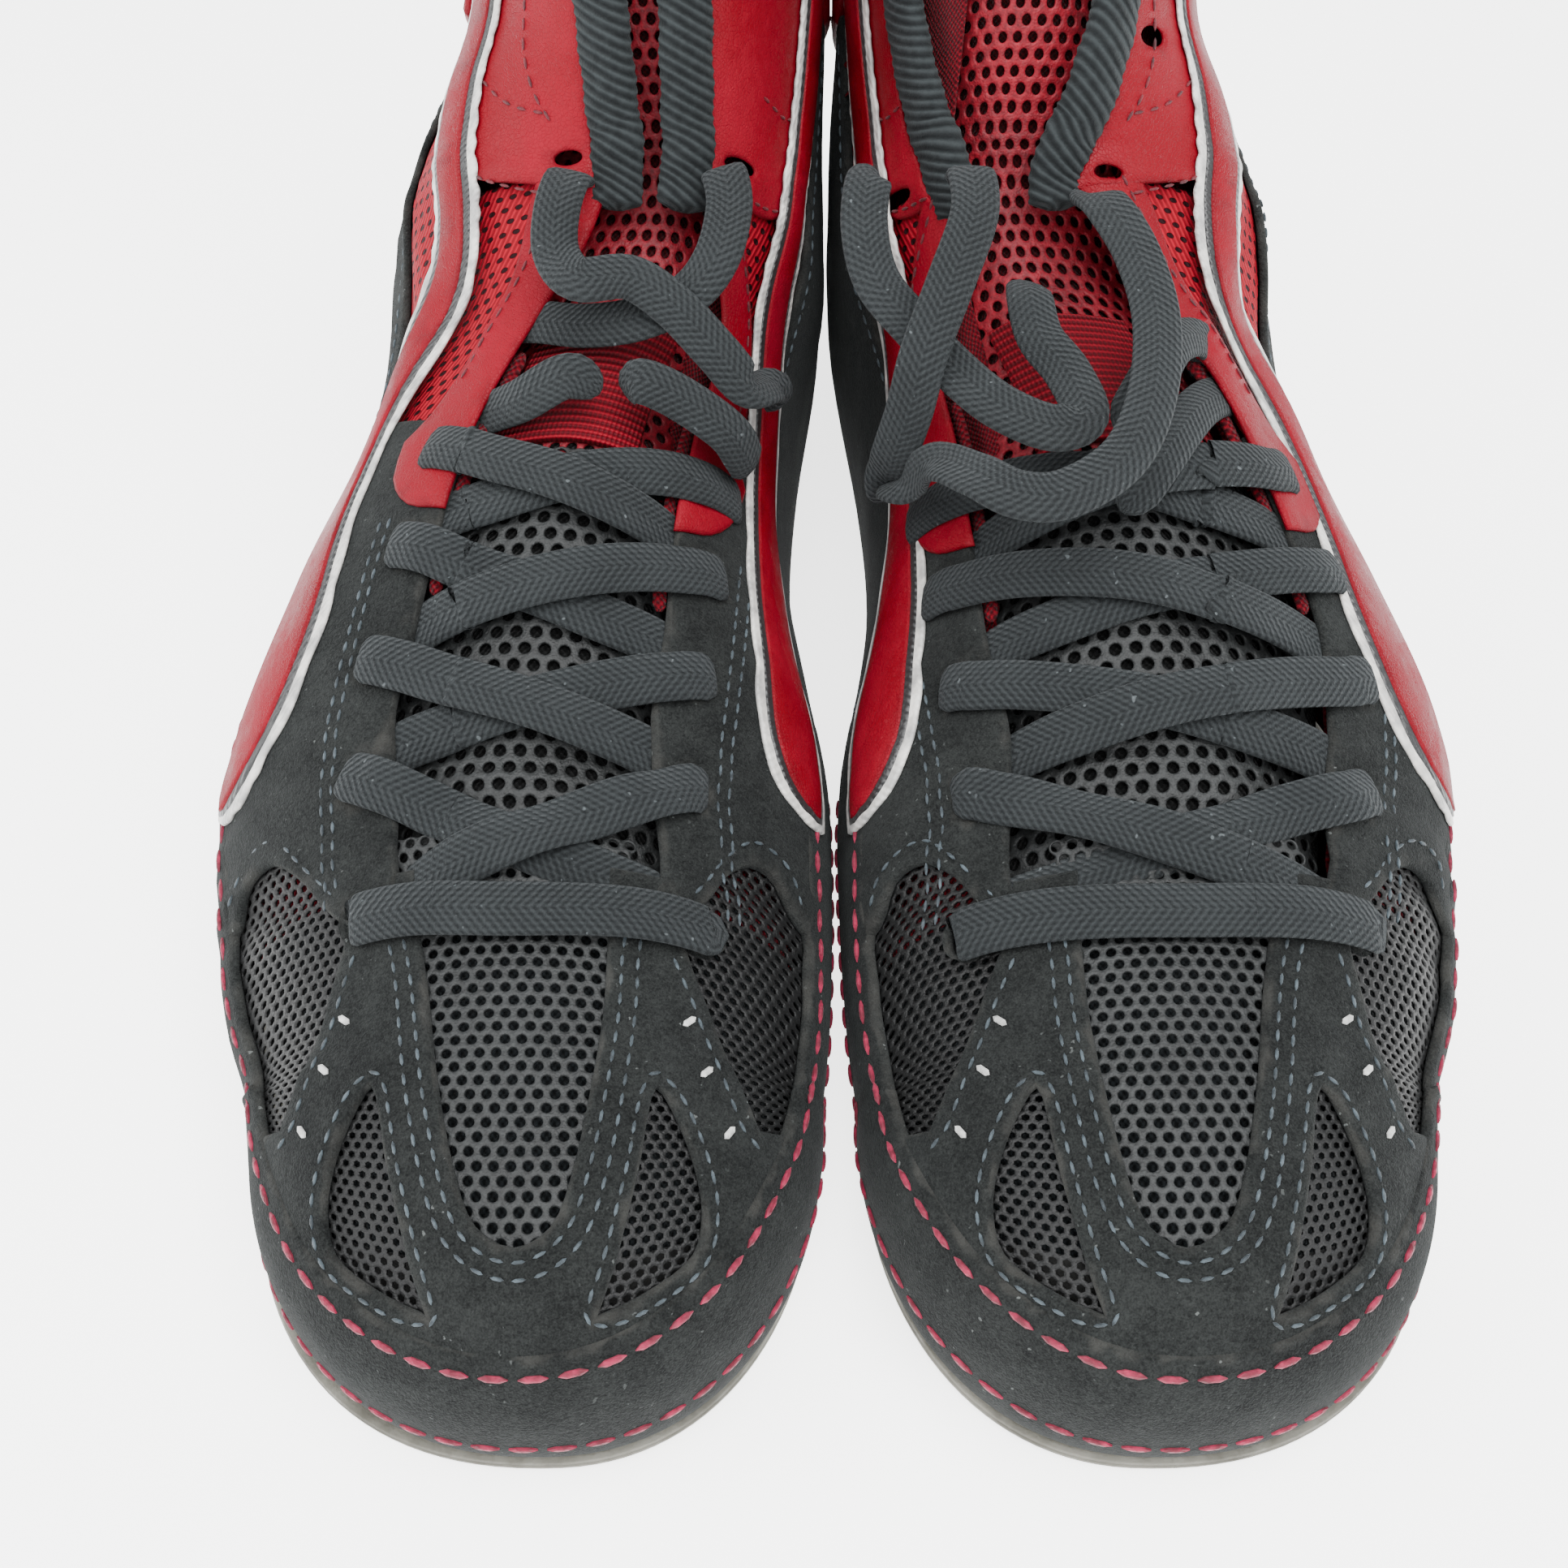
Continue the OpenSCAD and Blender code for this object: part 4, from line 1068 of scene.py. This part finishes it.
# --- Quarters ---
# Red mesh with rows of small slots covers the ankle. Suede wraps the heel and the sides down to
# the sole, and a red swept blade with a scalloped silver edge runs from the ball to the collar.


def slotted_mesh():
    f = Finish("slotted_red_mesh", roughness=0.7, specular=0.12)
    across, along = f.cloth()
    row = along.math("FLOOR", along * 0.42)
    cell_u = across.math("FRACT", across * 0.34 + row * 0.5) - 0.5
    cell_v = along.math("FRACT", along * 0.42) - 0.5
    # The slots are not cut through: each one is painted dark red, as painted shade over the lining seen
    # through it, and pressed in as a bump.
    slot = (cell_u * cell_u * 9 + cell_v * cell_v * 14.0).step(0.35, 0.75)
    ribs = (across * 5.1 + along * 2.4).wave() * 0.5 + 0.5
    face = f.mix((ribs * 0.5 + f.noise(900) * 0.5).step(0.1, 0.9), "64030F", "960820")
    return f.done(f.mix(slot, "1C0306", face), slot * 1.4 + ribs * 0.3, 0.0007, 1.0)


def scallop_cord(name, low, high):
    f = Finish(name, roughness=0.4, sheen=0.1, specular=0.6)
    across, along = f.cloth()
    return f.done(f.mix(f.noise(260, 3).step(0.3, 0.7), low, high),
                  (across * 4 + along * 4).wave() * 0.3 + f.noise(1500), 0.0003, 0.5)


slotted = slotted_mesh()
silver = scallop_cord("silver_edge", "8B8A88", "C9C6C0")
black_edge = scallop_cord("black_edge", "040405", "0C0C0D")
BLADE_FRONT = [(8.3, 61, 0), (8.5, 51), (8.85, 44.5), (9.4, 41), (10.1, 41.5), (10.8, 42.5), (11.35, 40.5),
               (11.9, 35.5),
               (12.5, 32.5), (13.3, 32.5), (14.2, 34), (15.5, 37.5), (17.1, 46), (18.5, 53), (19.7, 58, 0)]
BLADE_BACK = [(19.7, 69, 0), (18.5, 63), (17.1, 55), (15.5, 46), (14.2, 41.5), (13.3, 39.5), (12.6, 40),
              (11.9, 44),
              (11.3, 49), (10.6, 52), (9.8, 54), (9.0, 59), (8.3, 68, 0)]
STEEPER = 12            # degrees further round that the same band lies on the steep medial wall


def to_medial(knots):
    return [(k[0], -k[1] - STEEPER * min(1, max(0, (k[0] - 8) / 1.2)), *k[2:]) for k in knots]


for boot, side in BOOTS:
    shell = Shell()
    for way in (1, -1):
        back = [(13.4, 34, 0), (14.5, 38), (16.5, 42, 0), (17.6, 60), (17.6, 100, 0), (16.5, 118), (15, 122),
                (13.4, 128), (12, 132), (10.5, 128), (9.4, 118, 0), (9.4, 60, 0), (10.2, 46), (10.7, 36)]
        front = throat_edge(boot, way, [11.0, 11.6, 12.2, 12.8, 13.3], out=2.5)
        if way < 0:
            back = [(k[0], -k[1] - (14 if k[1] < 50 else 0), *k[2:]) for k in back]
        knots = back + front
        panel(shell, side, knots, 0.0, 0.9, spacing=3.2)
    sew_in(welded(shell.piece(f"{boot}_slotted_quarters", slotted, side)), boot, "red_mesh", "quarter_mesh")
    shell = Shell()
    top = [(9.2, 80, 0), (9.9, 62), (10.6, 57), (11.4, 56), (12.2, 58), (13.2, 61), (14.5, 64), (16, 69),
           (17.2, 77, 0), (17.5, 120), (17.4, 180)]
    low = [(9.2, feather(9.2), 0), (10.5, feather(10.5)), (12, feather(12)), (13.2, feather(13.2)),
           (14, feather(14)),
           (14.5, 160), (14.75, 180)]
    mirror_top = [(s, 360 - a, *c) for s, a, *c in top[:-1]][::-1]
    mirror_low = [(s, 360 - a, *c) for s, a, *c in low[:-1]]
    panel(shell, side, top + mirror_top + mirror_low + low[::-1], 1.2, 1.5, spacing=3.0, soft=1.0)
    sew_in(welded(shell.piece(f"{boot}_suede_counter", black_suede, side)), boot, "suede", "heel_counter")
    for way, place in ((1, "lateral"), (-1, "medial")):
        blade = BLADE_FRONT + BLADE_BACK
        blade = blade if way > 0 else to_medial(blade)
        loop = outline(blade)
        steps = np.concatenate([[0], np.linalg.norm(np.diff(on_last(loop[:, 0], loop[:, 1], 0), axis=0),
                                                    axis=1).cumsum()])
        layers = ((f"silver_edge_{place}", silver, 2.8, 0.8,
                   2.5 + 0.6 * np.abs(np.sin(steps * math.pi / 4.2))),
                  (f"black_edge_{place}", black_edge, 3.1, 0.8, 1.3 + 0.0 * steps),
                  (f"blade_{place}", red_leather, 3.4, 0.9, -0.1 + 0.0 * steps))
        for name, finish, low_d, thick, out in layers:
            shell = Shell()
            rim = moved_in(loop, -out)
            panel(shell, side, [tuple(k) for k in rim[::1 if "silver" in name else 2]], low_d, thick,
                  spacing=3.0, soft=0.5)
            piece = sew_in(welded(shell.piece(f"{boot}_{name}", finish, side)), boot, "red_leather")
            if finish is red_leather:
                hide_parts(f"{boot}_swept_panel_{place}")

# --- Ankle flaps, collar and binding ---
# Red hide flaps close the shaft over the tongue. Their edges and the collar are bound with a
# fat roll of dark ribbed knit, cut on the slant so its ribs run diagonally.
ROLL_S = [12.75, 13.1, 14.5, 16.5, 18.2, 19.9]
ROLL = {"left": ([-9.5, -10, -12.5, -16.5, -19.5, -21], [5.0, 5.5, 9, 13.3, 16.5, 18]),
        "right": ([-4.6, -4.8, -4.6, -4.8, -5.5, -6.5], [6.0, 6.3, 6.8, 7.8, 9.2, 10.5])}
ROLL_W, ROLL_T = 9.0, 5.4
FLAP_EYES = {"left": (13.45, 16.5, 18.6), "right": (13.75, 17.4, 19.0)}


def ribbed_knit():
    f = Finish("ribbed_knit", roughness=0.95, sheen=0.12, specular=0.12, sheen_tint="9A9F9F")
    across, along = f.cloth()
    rib = (along * 3.4 + across * 1.9).wave() * 0.5 + 0.5
    return f.done(f.mix((rib * 0.5 + f.noise(600, 3) * 0.6).step(0.2, 0.95), "121415", "2C3031"),
                  rib + f.noise(2600) * 0.4, 0.0006, 0.9)


knit = ribbed_knit()


def ribs(reach, turn):
    return 0.03 * np.sin(reach * 3.4 + np.cos(turn) * 8.5) + 0.03 * np.sin(reach * 0.7 + turn)


def flap_base(s, a):
    """The flap's lower edge steps up over the red eyestay."""
    return 1.4 + 1.3 * np.clip((14.0 - s) / 0.5, 0, 1) * np.clip((34 - np.abs(a)) / 6, 0, 1)


for boot, side in BOOTS:
    roll = Shell()
    for way in (1, -1):
        centre = ROLL[boot][0 if way < 0 else 1]
        s = np.linspace(12.75, 19.9, 12)
        route = [(q, np.interp(q, ROLL_S, centre), 1.9) for q in s]
        points, up = lay_on(side, route, 0.7)
        sweep(roll, points, up, ROLL_W, ROLL_T, sides=20, ribs=ribs)
        first = float(angle_at(13.0, np.interp(13.0, ROLL_S, centre) + way * 2.5))
        last = float(angle_at(19.8, centre[-1] + way * 2.5))
        half = float(angle_at(16, np.interp(16, ROLL_S, centre) + way * 2.5))
        knots = [(13.0, first, 0), (16, half), (19.8, last, 0)]
        if way > 0:
            knots += [(19.8, 63, 0), (18.5, 58), (17.1, 51), (15.5, 42), (14.1, 38, 0), (13.6, 30)]
        else:
            knots += [(19.8, -76, 0), (18.5, -70), (17.1, -63), (15.5, -54), (13.55, -50, 0), (13.1, -38)]
        shell = Shell()
        eyes = [round_hole(at, np.interp(at, ROLL_S, centre) + way * 7.8, HOLE_R) for at in FLAP_EYES[boot]]
        panel(shell, side, knots, flap_base, 1.1, holes=eyes, spacing=3.0)
        place = "lateral" if way > 0 else "medial"
        sew_in(welded(shell.piece(f"{boot}_hide_flap_{place}", red_leather, side)), boot, "red_leather",
               f"ankle_flap_{place}")
    sew_in(roll.piece(f"{boot}_knit_rolls", knit), boot, "knit_binding", "throat_binding")
    shell = Shell()
    knots = [(17.15, 70, 0), (19.8, 67, 0), (19.8, 180), (19.8, 283, 0), (17.15, 278, 0), (17.0, 230),
             (17.1, 180),
             (17.0, 120)]
    panel(shell, side, knots, 1.3, 2.4, spacing=3.2, soft=1.4)
    cuff = sew_in(welded(shell.piece(f"{boot}_padded_collar", red_leather, side)), boot, "red_leather",
                  "collar")
    first = float(angle_at(19.9, ROLL[boot][1][-1]))
    last = 360 + float(angle_at(19.9, ROLL[boot][0][-1]))
    turn = np.linspace(first, last, 90)
    shell = Shell()
    top = skin(side, 19.85, turn, -0.6)
    out = unit(skin(side, 19.85, turn, 3) - top)
    route = np.column_stack([spline(top, 0.8)])
    ups = np.array([out[min(int(i * len(out) / len(route)), len(out) - 1)] for i in range(len(route))])
    sweep(shell, route, ups, 6.5, 6.5, sides=16, ribs=ribs)
    sew_in(shell.piece(f"{boot}_top_roll", knit), boot, "knit_binding")

# --- Tongue ---
# The lower tongue is black open mesh and the upper one red, each over a soft backing, with a
# ribbed red webbing keeper for the laces stitched across at the ankle.


def webbing():
    f = Finish("red_webbing", roughness=0.65, specular=0.2)
    across, along = f.cloth()
    cord = (along * 4.4).wave() * 0.5 + 0.5
    pick = (across * 7.5).wave() * 0.5 + 0.5
    return f.done(f.mix((cord * 0.7 + pick * 0.3).step(0.1, 0.9), "4A020D", "80051A"), cord + pick * 0.3,
                  0.0006, 1.0)


backing_black = towelling("tongue_backing", "050505", "101111")
backing_red = towelling("tongue_backing_red", "1E0205", "3F050B")
keeper_web = webbing()


def low_tongue(s, across):
    return -1.3 - 3.0 * (across / 26) ** 2 - 1.6 * np.exp(-((s - 7.2) / 0.35) ** 2)


def high_tongue(s, across):
    return -1.8 - 4.4 * np.clip((s - 10.2) / 3.0, 0, 1) - 2.2 * (across / 24) ** 2


def by_angle(height, more):
    """A height given by millimetres across, as one given by angle, and so much higher."""
    def at(s, a):
        k = station(s)
        half = np.where(a >= 0, k[:, 5] - k[:, 6], k[:, 6] - k[:, 4])
        return height(s, np.sign(a) * half * np.abs(np.sin(a * RAD)) ** (2 / k[:, 8])) + more
    return at


for boot, side in BOOTS:
    lows = honeycomb(side, lambda s, across: abs(across) < 31, (7.05, 10.6), (-32, 32), 3.3, low_tongue)
    piece = grown(lows.piece("patch", black_yarn, side), open_mesh, f"{boot}_tongue_mesh", KNIT, Hole=0.62,
                  Yarn=black_yarn)
    sew_in(piece, boot, "black_mesh", "tongue_base")
    shell = Shell()
    panel(shell, side, [(7.0, -40, 0), (7.0, 40, 0), (10.6, 40, 0), (10.6, -40, 0)],
          by_angle(low_tongue, -2.6), 1.0,
          spacing=3)
    sew_in(welded(shell.piece(f"{boot}_tongue_backing", backing_black, side)), boot, "black_mesh")
    start, end = (0, -0.012, 0.070), (0, 0.020, 0.085)
    highs = honeycomb(side, lambda s, across: abs(across) < 25, (10.25, 19.75), (-26, 26), 3.0, high_tongue)
    faces = [grown(highs.piece("patch", red_yarn, side), open_mesh, f"{boot}_tongue_top_mesh", KNIT,
                   Hole=0.6, Yarn=red_yarn)]
    shell = Shell()
    panel(shell, side, [(10.3, -42, 0), (10.3, 34, 0), (13, 26), (19.7, 27, 0), (19.95, 0), (19.7, -56, 0),
                        (13, -54)],
          by_angle(high_tongue, -4.6), 3.4, spacing=3.4, soft=1.4)
    faces.append(welded(shell.piece(f"{boot}_tongue_top_pad", backing_red, side)))
    shell = Shell()
    panel(shell, side, [(10.5, -22, 0), (10.5, 17, 0), (11.7, 15, 0), (11.7, -25, 0)],
          by_angle(high_tongue, 0.6), 1.3, spacing=2.2)
    faces.append(welded(shell.piece(f"{boot}_lace_keeper", keeper_web, side)))
    for piece, slot in zip(faces, ("red_mesh", "red_mesh", "red_mesh")):
        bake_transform(piece)
    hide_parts(f"{boot}_tongue_top")

# --- Stitching ---
# Polyester thread, drawn into the surface: pink round the rand, grey-blue on the suede and
# dark red on the hide. Every stitch is a small bead that follows its seam.


def stitch_tree():
    tree, start, end = group("stitches", ("Pitch", "Float"), ("Stitch", "Vector"), ("Thread", "Material"))
    bead = chain(tree, None, [("MeshUVSphere", {}, {"Segments": 6, "Rings": 5, "Radius": 0.5}),
                              ("Transform", {}, {"Scale": start.outputs["Stitch"]})])
    tangent = tree.nodes.new("GeometryNodeInputTangent")
    outward = tree.nodes.new("GeometryNodeInputNamedAttribute")
    outward.data_type = "FLOAT_VECTOR"
    outward.inputs["Name"].default_value = "up"
    follow = tree.nodes.new("FunctionNodeAlignRotationToVector")
    follow.axis = "X"
    tree.links.new(tangent.outputs[0], follow.inputs["Vector"])
    stand = tree.nodes.new("FunctionNodeAlignRotationToVector")
    stand.axis = "Z"
    stand.pivot_axis = "X"
    tree.links.new(follow.outputs[0], stand.inputs["Rotation"])
    tree.links.new(outward.outputs["Attribute"], stand.inputs["Vector"])
    last = chain(tree, start.outputs[0], [("MeshToCurve", {}, {}),
                                          ("ResampleCurve", {"mode": "LENGTH"},
                                           {"Length": start.outputs["Pitch"]}),
                                          ("InstanceOnPoints", {},
                                           {"Instance": bead, "Rotation": stand.outputs[0]}),
                                          ("RealizeInstances", {}, {}),
                                          ("SetMaterial", {}, {"Material": start.outputs["Thread"]})])
    tree.links.new(last, end.inputs[0])
    return tree


class Seams:
    """Rows of stitches that share one thread."""
    def __init__(self, side):
        self.side, self.points, self.ups, self.edges = side, [], [], []

    def sew(self, path, height, keep=None, closed=True):
        s, a = np.asarray(path, float)[:, :2].T
        start, n = sum(len(p) for p in self.points), len(s)
        high = height(s, a) if callable(height) else height
        low, top = skin(self.side, s, a, high), skin(self.side, s, a, high + 1)
        self.points.append(low)
        self.ups.append(unit(top - low))
        kept = np.ones(n, bool) if keep is None else keep(s, a)
        self.edges += [(start + i, start + (i + 1) % n) for i in range(n if closed else n - 1)
                       if kept[i] and kept[(i + 1) % n]]

    def line(self, knots, height):
        self.sew(spline([k[:2] for k in knots], 0.3), height, closed=False)

    def thread(self, name, material, pitch, size):
        mesh = bpy.data.meshes.new(name)
        mesh.from_pydata(np.concatenate(self.points) * MM, self.edges, [])
        field = mesh.attributes.new("up", "FLOAT_VECTOR", "POINT")
        field.data.foreach_set("vector", np.concatenate(self.ups).ravel())
        base = bpy.data.objects.new(name, mesh)
        bpy.context.scene.collection.objects.link(base)
        piece = grown(base, stitches, name, Pitch=pitch * MM, Stitch=[v * MM for v in size], Thread=material)
        return piece


def thread_colour(name, dark, light):
    f = Finish(name, roughness=0.6, sheen=0.1, specular=0.3)
    return f.done(f.mix(f.noise(700, 3).step(0.3, 0.8), dark, light), f.noise(3000, 2), 0.0002, 0.6)


def hole_out(window, by):
    return moved_in(outline(window), -by)


stitches = stitch_tree()
pink = thread_colour("pink_thread", "4E0418", "8C1238")
grey_blue = thread_colour("grey_blue_thread", "1B2226", "414C52")
dark_red = thread_colour("red_thread", "30020A", "5E0414")
white = thread_colour("white_thread", "8E8E8B", "C6C6C2")
CENTRE_LOOP = CENTRE_WINDOW + flipped(CENTRE_WINDOW[:-1])[::-1]
SUEDE_TOP = 2.5
for boot, side in BOOTS:
    rand = RAND_TOP + RAND_LOW + flipped(RAND_LOW)[::-1] + flipped(RAND_TOP[1:])[::-1]
    seams = Seams(side)
    seams.sew(moved_in(outline(rand), 3.2), 2.9, lambda s, a: (s > 2.2) & (s < 9.2) & (np.abs(a) < 86))
    near = [(1.12, 0), (1.15, 18), (1.3, 38), (1.6, 60), (2.3, 80), (3.4, 90), (5, 94), (7, 94), (9, 92)]
    seams.line(flipped(near[1:])[::-1] + near, 2.9)
    sew_in(seams.thread(f"{boot}_pink_stitches", pink, 5.3, (4.3, 1.15, 0.9)), boot, "suede")
    seams = Seams(side)
    for out in (2.0, 4.3):
        seams.sew(hole_out(CENTRE_LOOP, out), SUEDE_TOP, lambda s, a: s < 6.9)
    for leaf in (LEAF_WINDOW, flipped(LEAF_WINDOW)):
        seams.sew(hole_out(leaf, 1.9), SUEDE_TOP, lambda s, a: s > 2.95)
    for window in (SIDE_WINDOW, flipped(SIDE_WINDOW)):
        seams.sew(hole_out(window, 2.2), SUEDE_TOP, lambda s,
                  a: (np.abs(a) < 50.5 - (s - 5) * 5) & (s < 6.75))
    for way in (1, -1):
        for out in (9.5, 11.2):
            seams.line([(s, float(angle_at(s, throat(boot, s,
                                                     way) + way * out))) for s in (7.2, 8, 9, 10)], 2.75)
        seams.line([(7.15, way * 26), (7.12, way * 31), (7.36, way * 37.5), (7.62, way * 44),
                    (7.76, way * 50),
                    (7.74, way * 58), (7.56, way * 65)], 2.75)
    counter = [(9.5, 76), (10.0, 65.5), (10.6, 60.5), (11.4, 59.5), (12.2, 61.5), (13.2, 64.5),
               (14.5, 67.5), (16, 72.5), (16.9, 79)]
    seams.line(counter, 2.75)
    seams.line([(s, 360 - a) for s, a in counter], 2.75)
    sew_in(seams.thread(f"{boot}_grey_stitches", grey_blue, 3.0, (2.1, 0.6, 0.55)), boot, "suede")
    seams = Seams(side)
    lateral = [(12.95, 17), (13.15, 22), (13.6, 31), (13.95, 35)]
    medial = [(13.0, -23), (13.1, -38), (13.4, -47)]
    flap_face = lambda s, a: flap_base(s, a) + 1.2
    for edge in (lateral, medial):
        seams.line([(s + 0.14, a) for s, a in edge], flap_face)
    seams.line([(15.1, 19), (15.35, 26), (15.9, 36), (16.1, 40)], flap_face)
    seams.line([(15.0, 17), (16, 25), (17, 33), (18.6, 40), (19.6, 42)], flap_face)
    seams.line([(15.6, -36), (15.4, -44), (15.6, -50)], flap_face)
    for way in (1, -1):
        seams.line([(s, a + way * 8.5) for s, a in throat_edge(boot, way, [11.2, 12, 12.8, 13.3])], 3.75)
    seams.line([(17.25, 84), (17.2, 120), (17.3, 180), (17.2, 240), (17.25, 270)], 3.75)
    sew_in(seams.thread(f"{boot}_red_stitches", dark_red, 2.9, (2.1, 0.55, 0.5)), boot, "red_leather")
    seams = Seams(side)
    for way in (1, -1):
        for s, a in ((5.95, 35), (5.3, 39), (4.6, 44)):
            seams.line([(s - 0.01, way * (a - 0.2)), (s + 0.01, way * (a + 0.2))], SUEDE_TOP + 0.1)
    sew_in(seams.thread(f"{boot}_bar_tacks", white, 1.2, (2.3, 1.2, 0.7)), boot, "suede")

# --- Floor and light ---
# A white table top under soft white light from all round.
floor_mesh = bpy.data.meshes.new("floor")
floor_mesh.from_pydata([(-4, -4, 0), (4, -4, 0), (4, 4, 0), (-4, 4, 0)], [], [(0, 1, 2, 3)])
table_white = Finish("table_white", roughness=0.7, specular=0.2)
table_white.shader.inputs["Emission Color"].default_value = (1, 1, 1, 1)
table_white.shader.inputs["Emission Strength"].default_value = 2.6
floor_mesh.materials.append(table_white.done("F4F4F2"))
floor = bpy.data.objects.new("floor", floor_mesh)
bpy.context.scene.collection.objects.link(floor)
floor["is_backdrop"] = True
world = bpy.data.worlds.new("studio")
world.use_nodes = True
world.node_tree.nodes["Background"].inputs["Color"].default_value = (0.95, 0.97, 1, 1)
world.node_tree.nodes["Background"].inputs["Strength"].default_value = 1.5
bpy.context.scene.world = world
for name, place, size, power in (("overhead", (0.15, -0.35, 0.9), 0.9, 24),
                                 ("side", (-0.8, -0.2, 0.6), 0.6, 8)):
    lamp = bpy.data.lights.new(name, "AREA")
    lamp.size = size
    lamp.energy = power
    holder = bpy.data.objects.new(name, lamp)
    holder.location = place
    holder.rotation_euler = (-holder.location).to_track_quat("-Z", "Y").to_euler()
    bpy.context.scene.collection.objects.link(holder)

low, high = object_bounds()
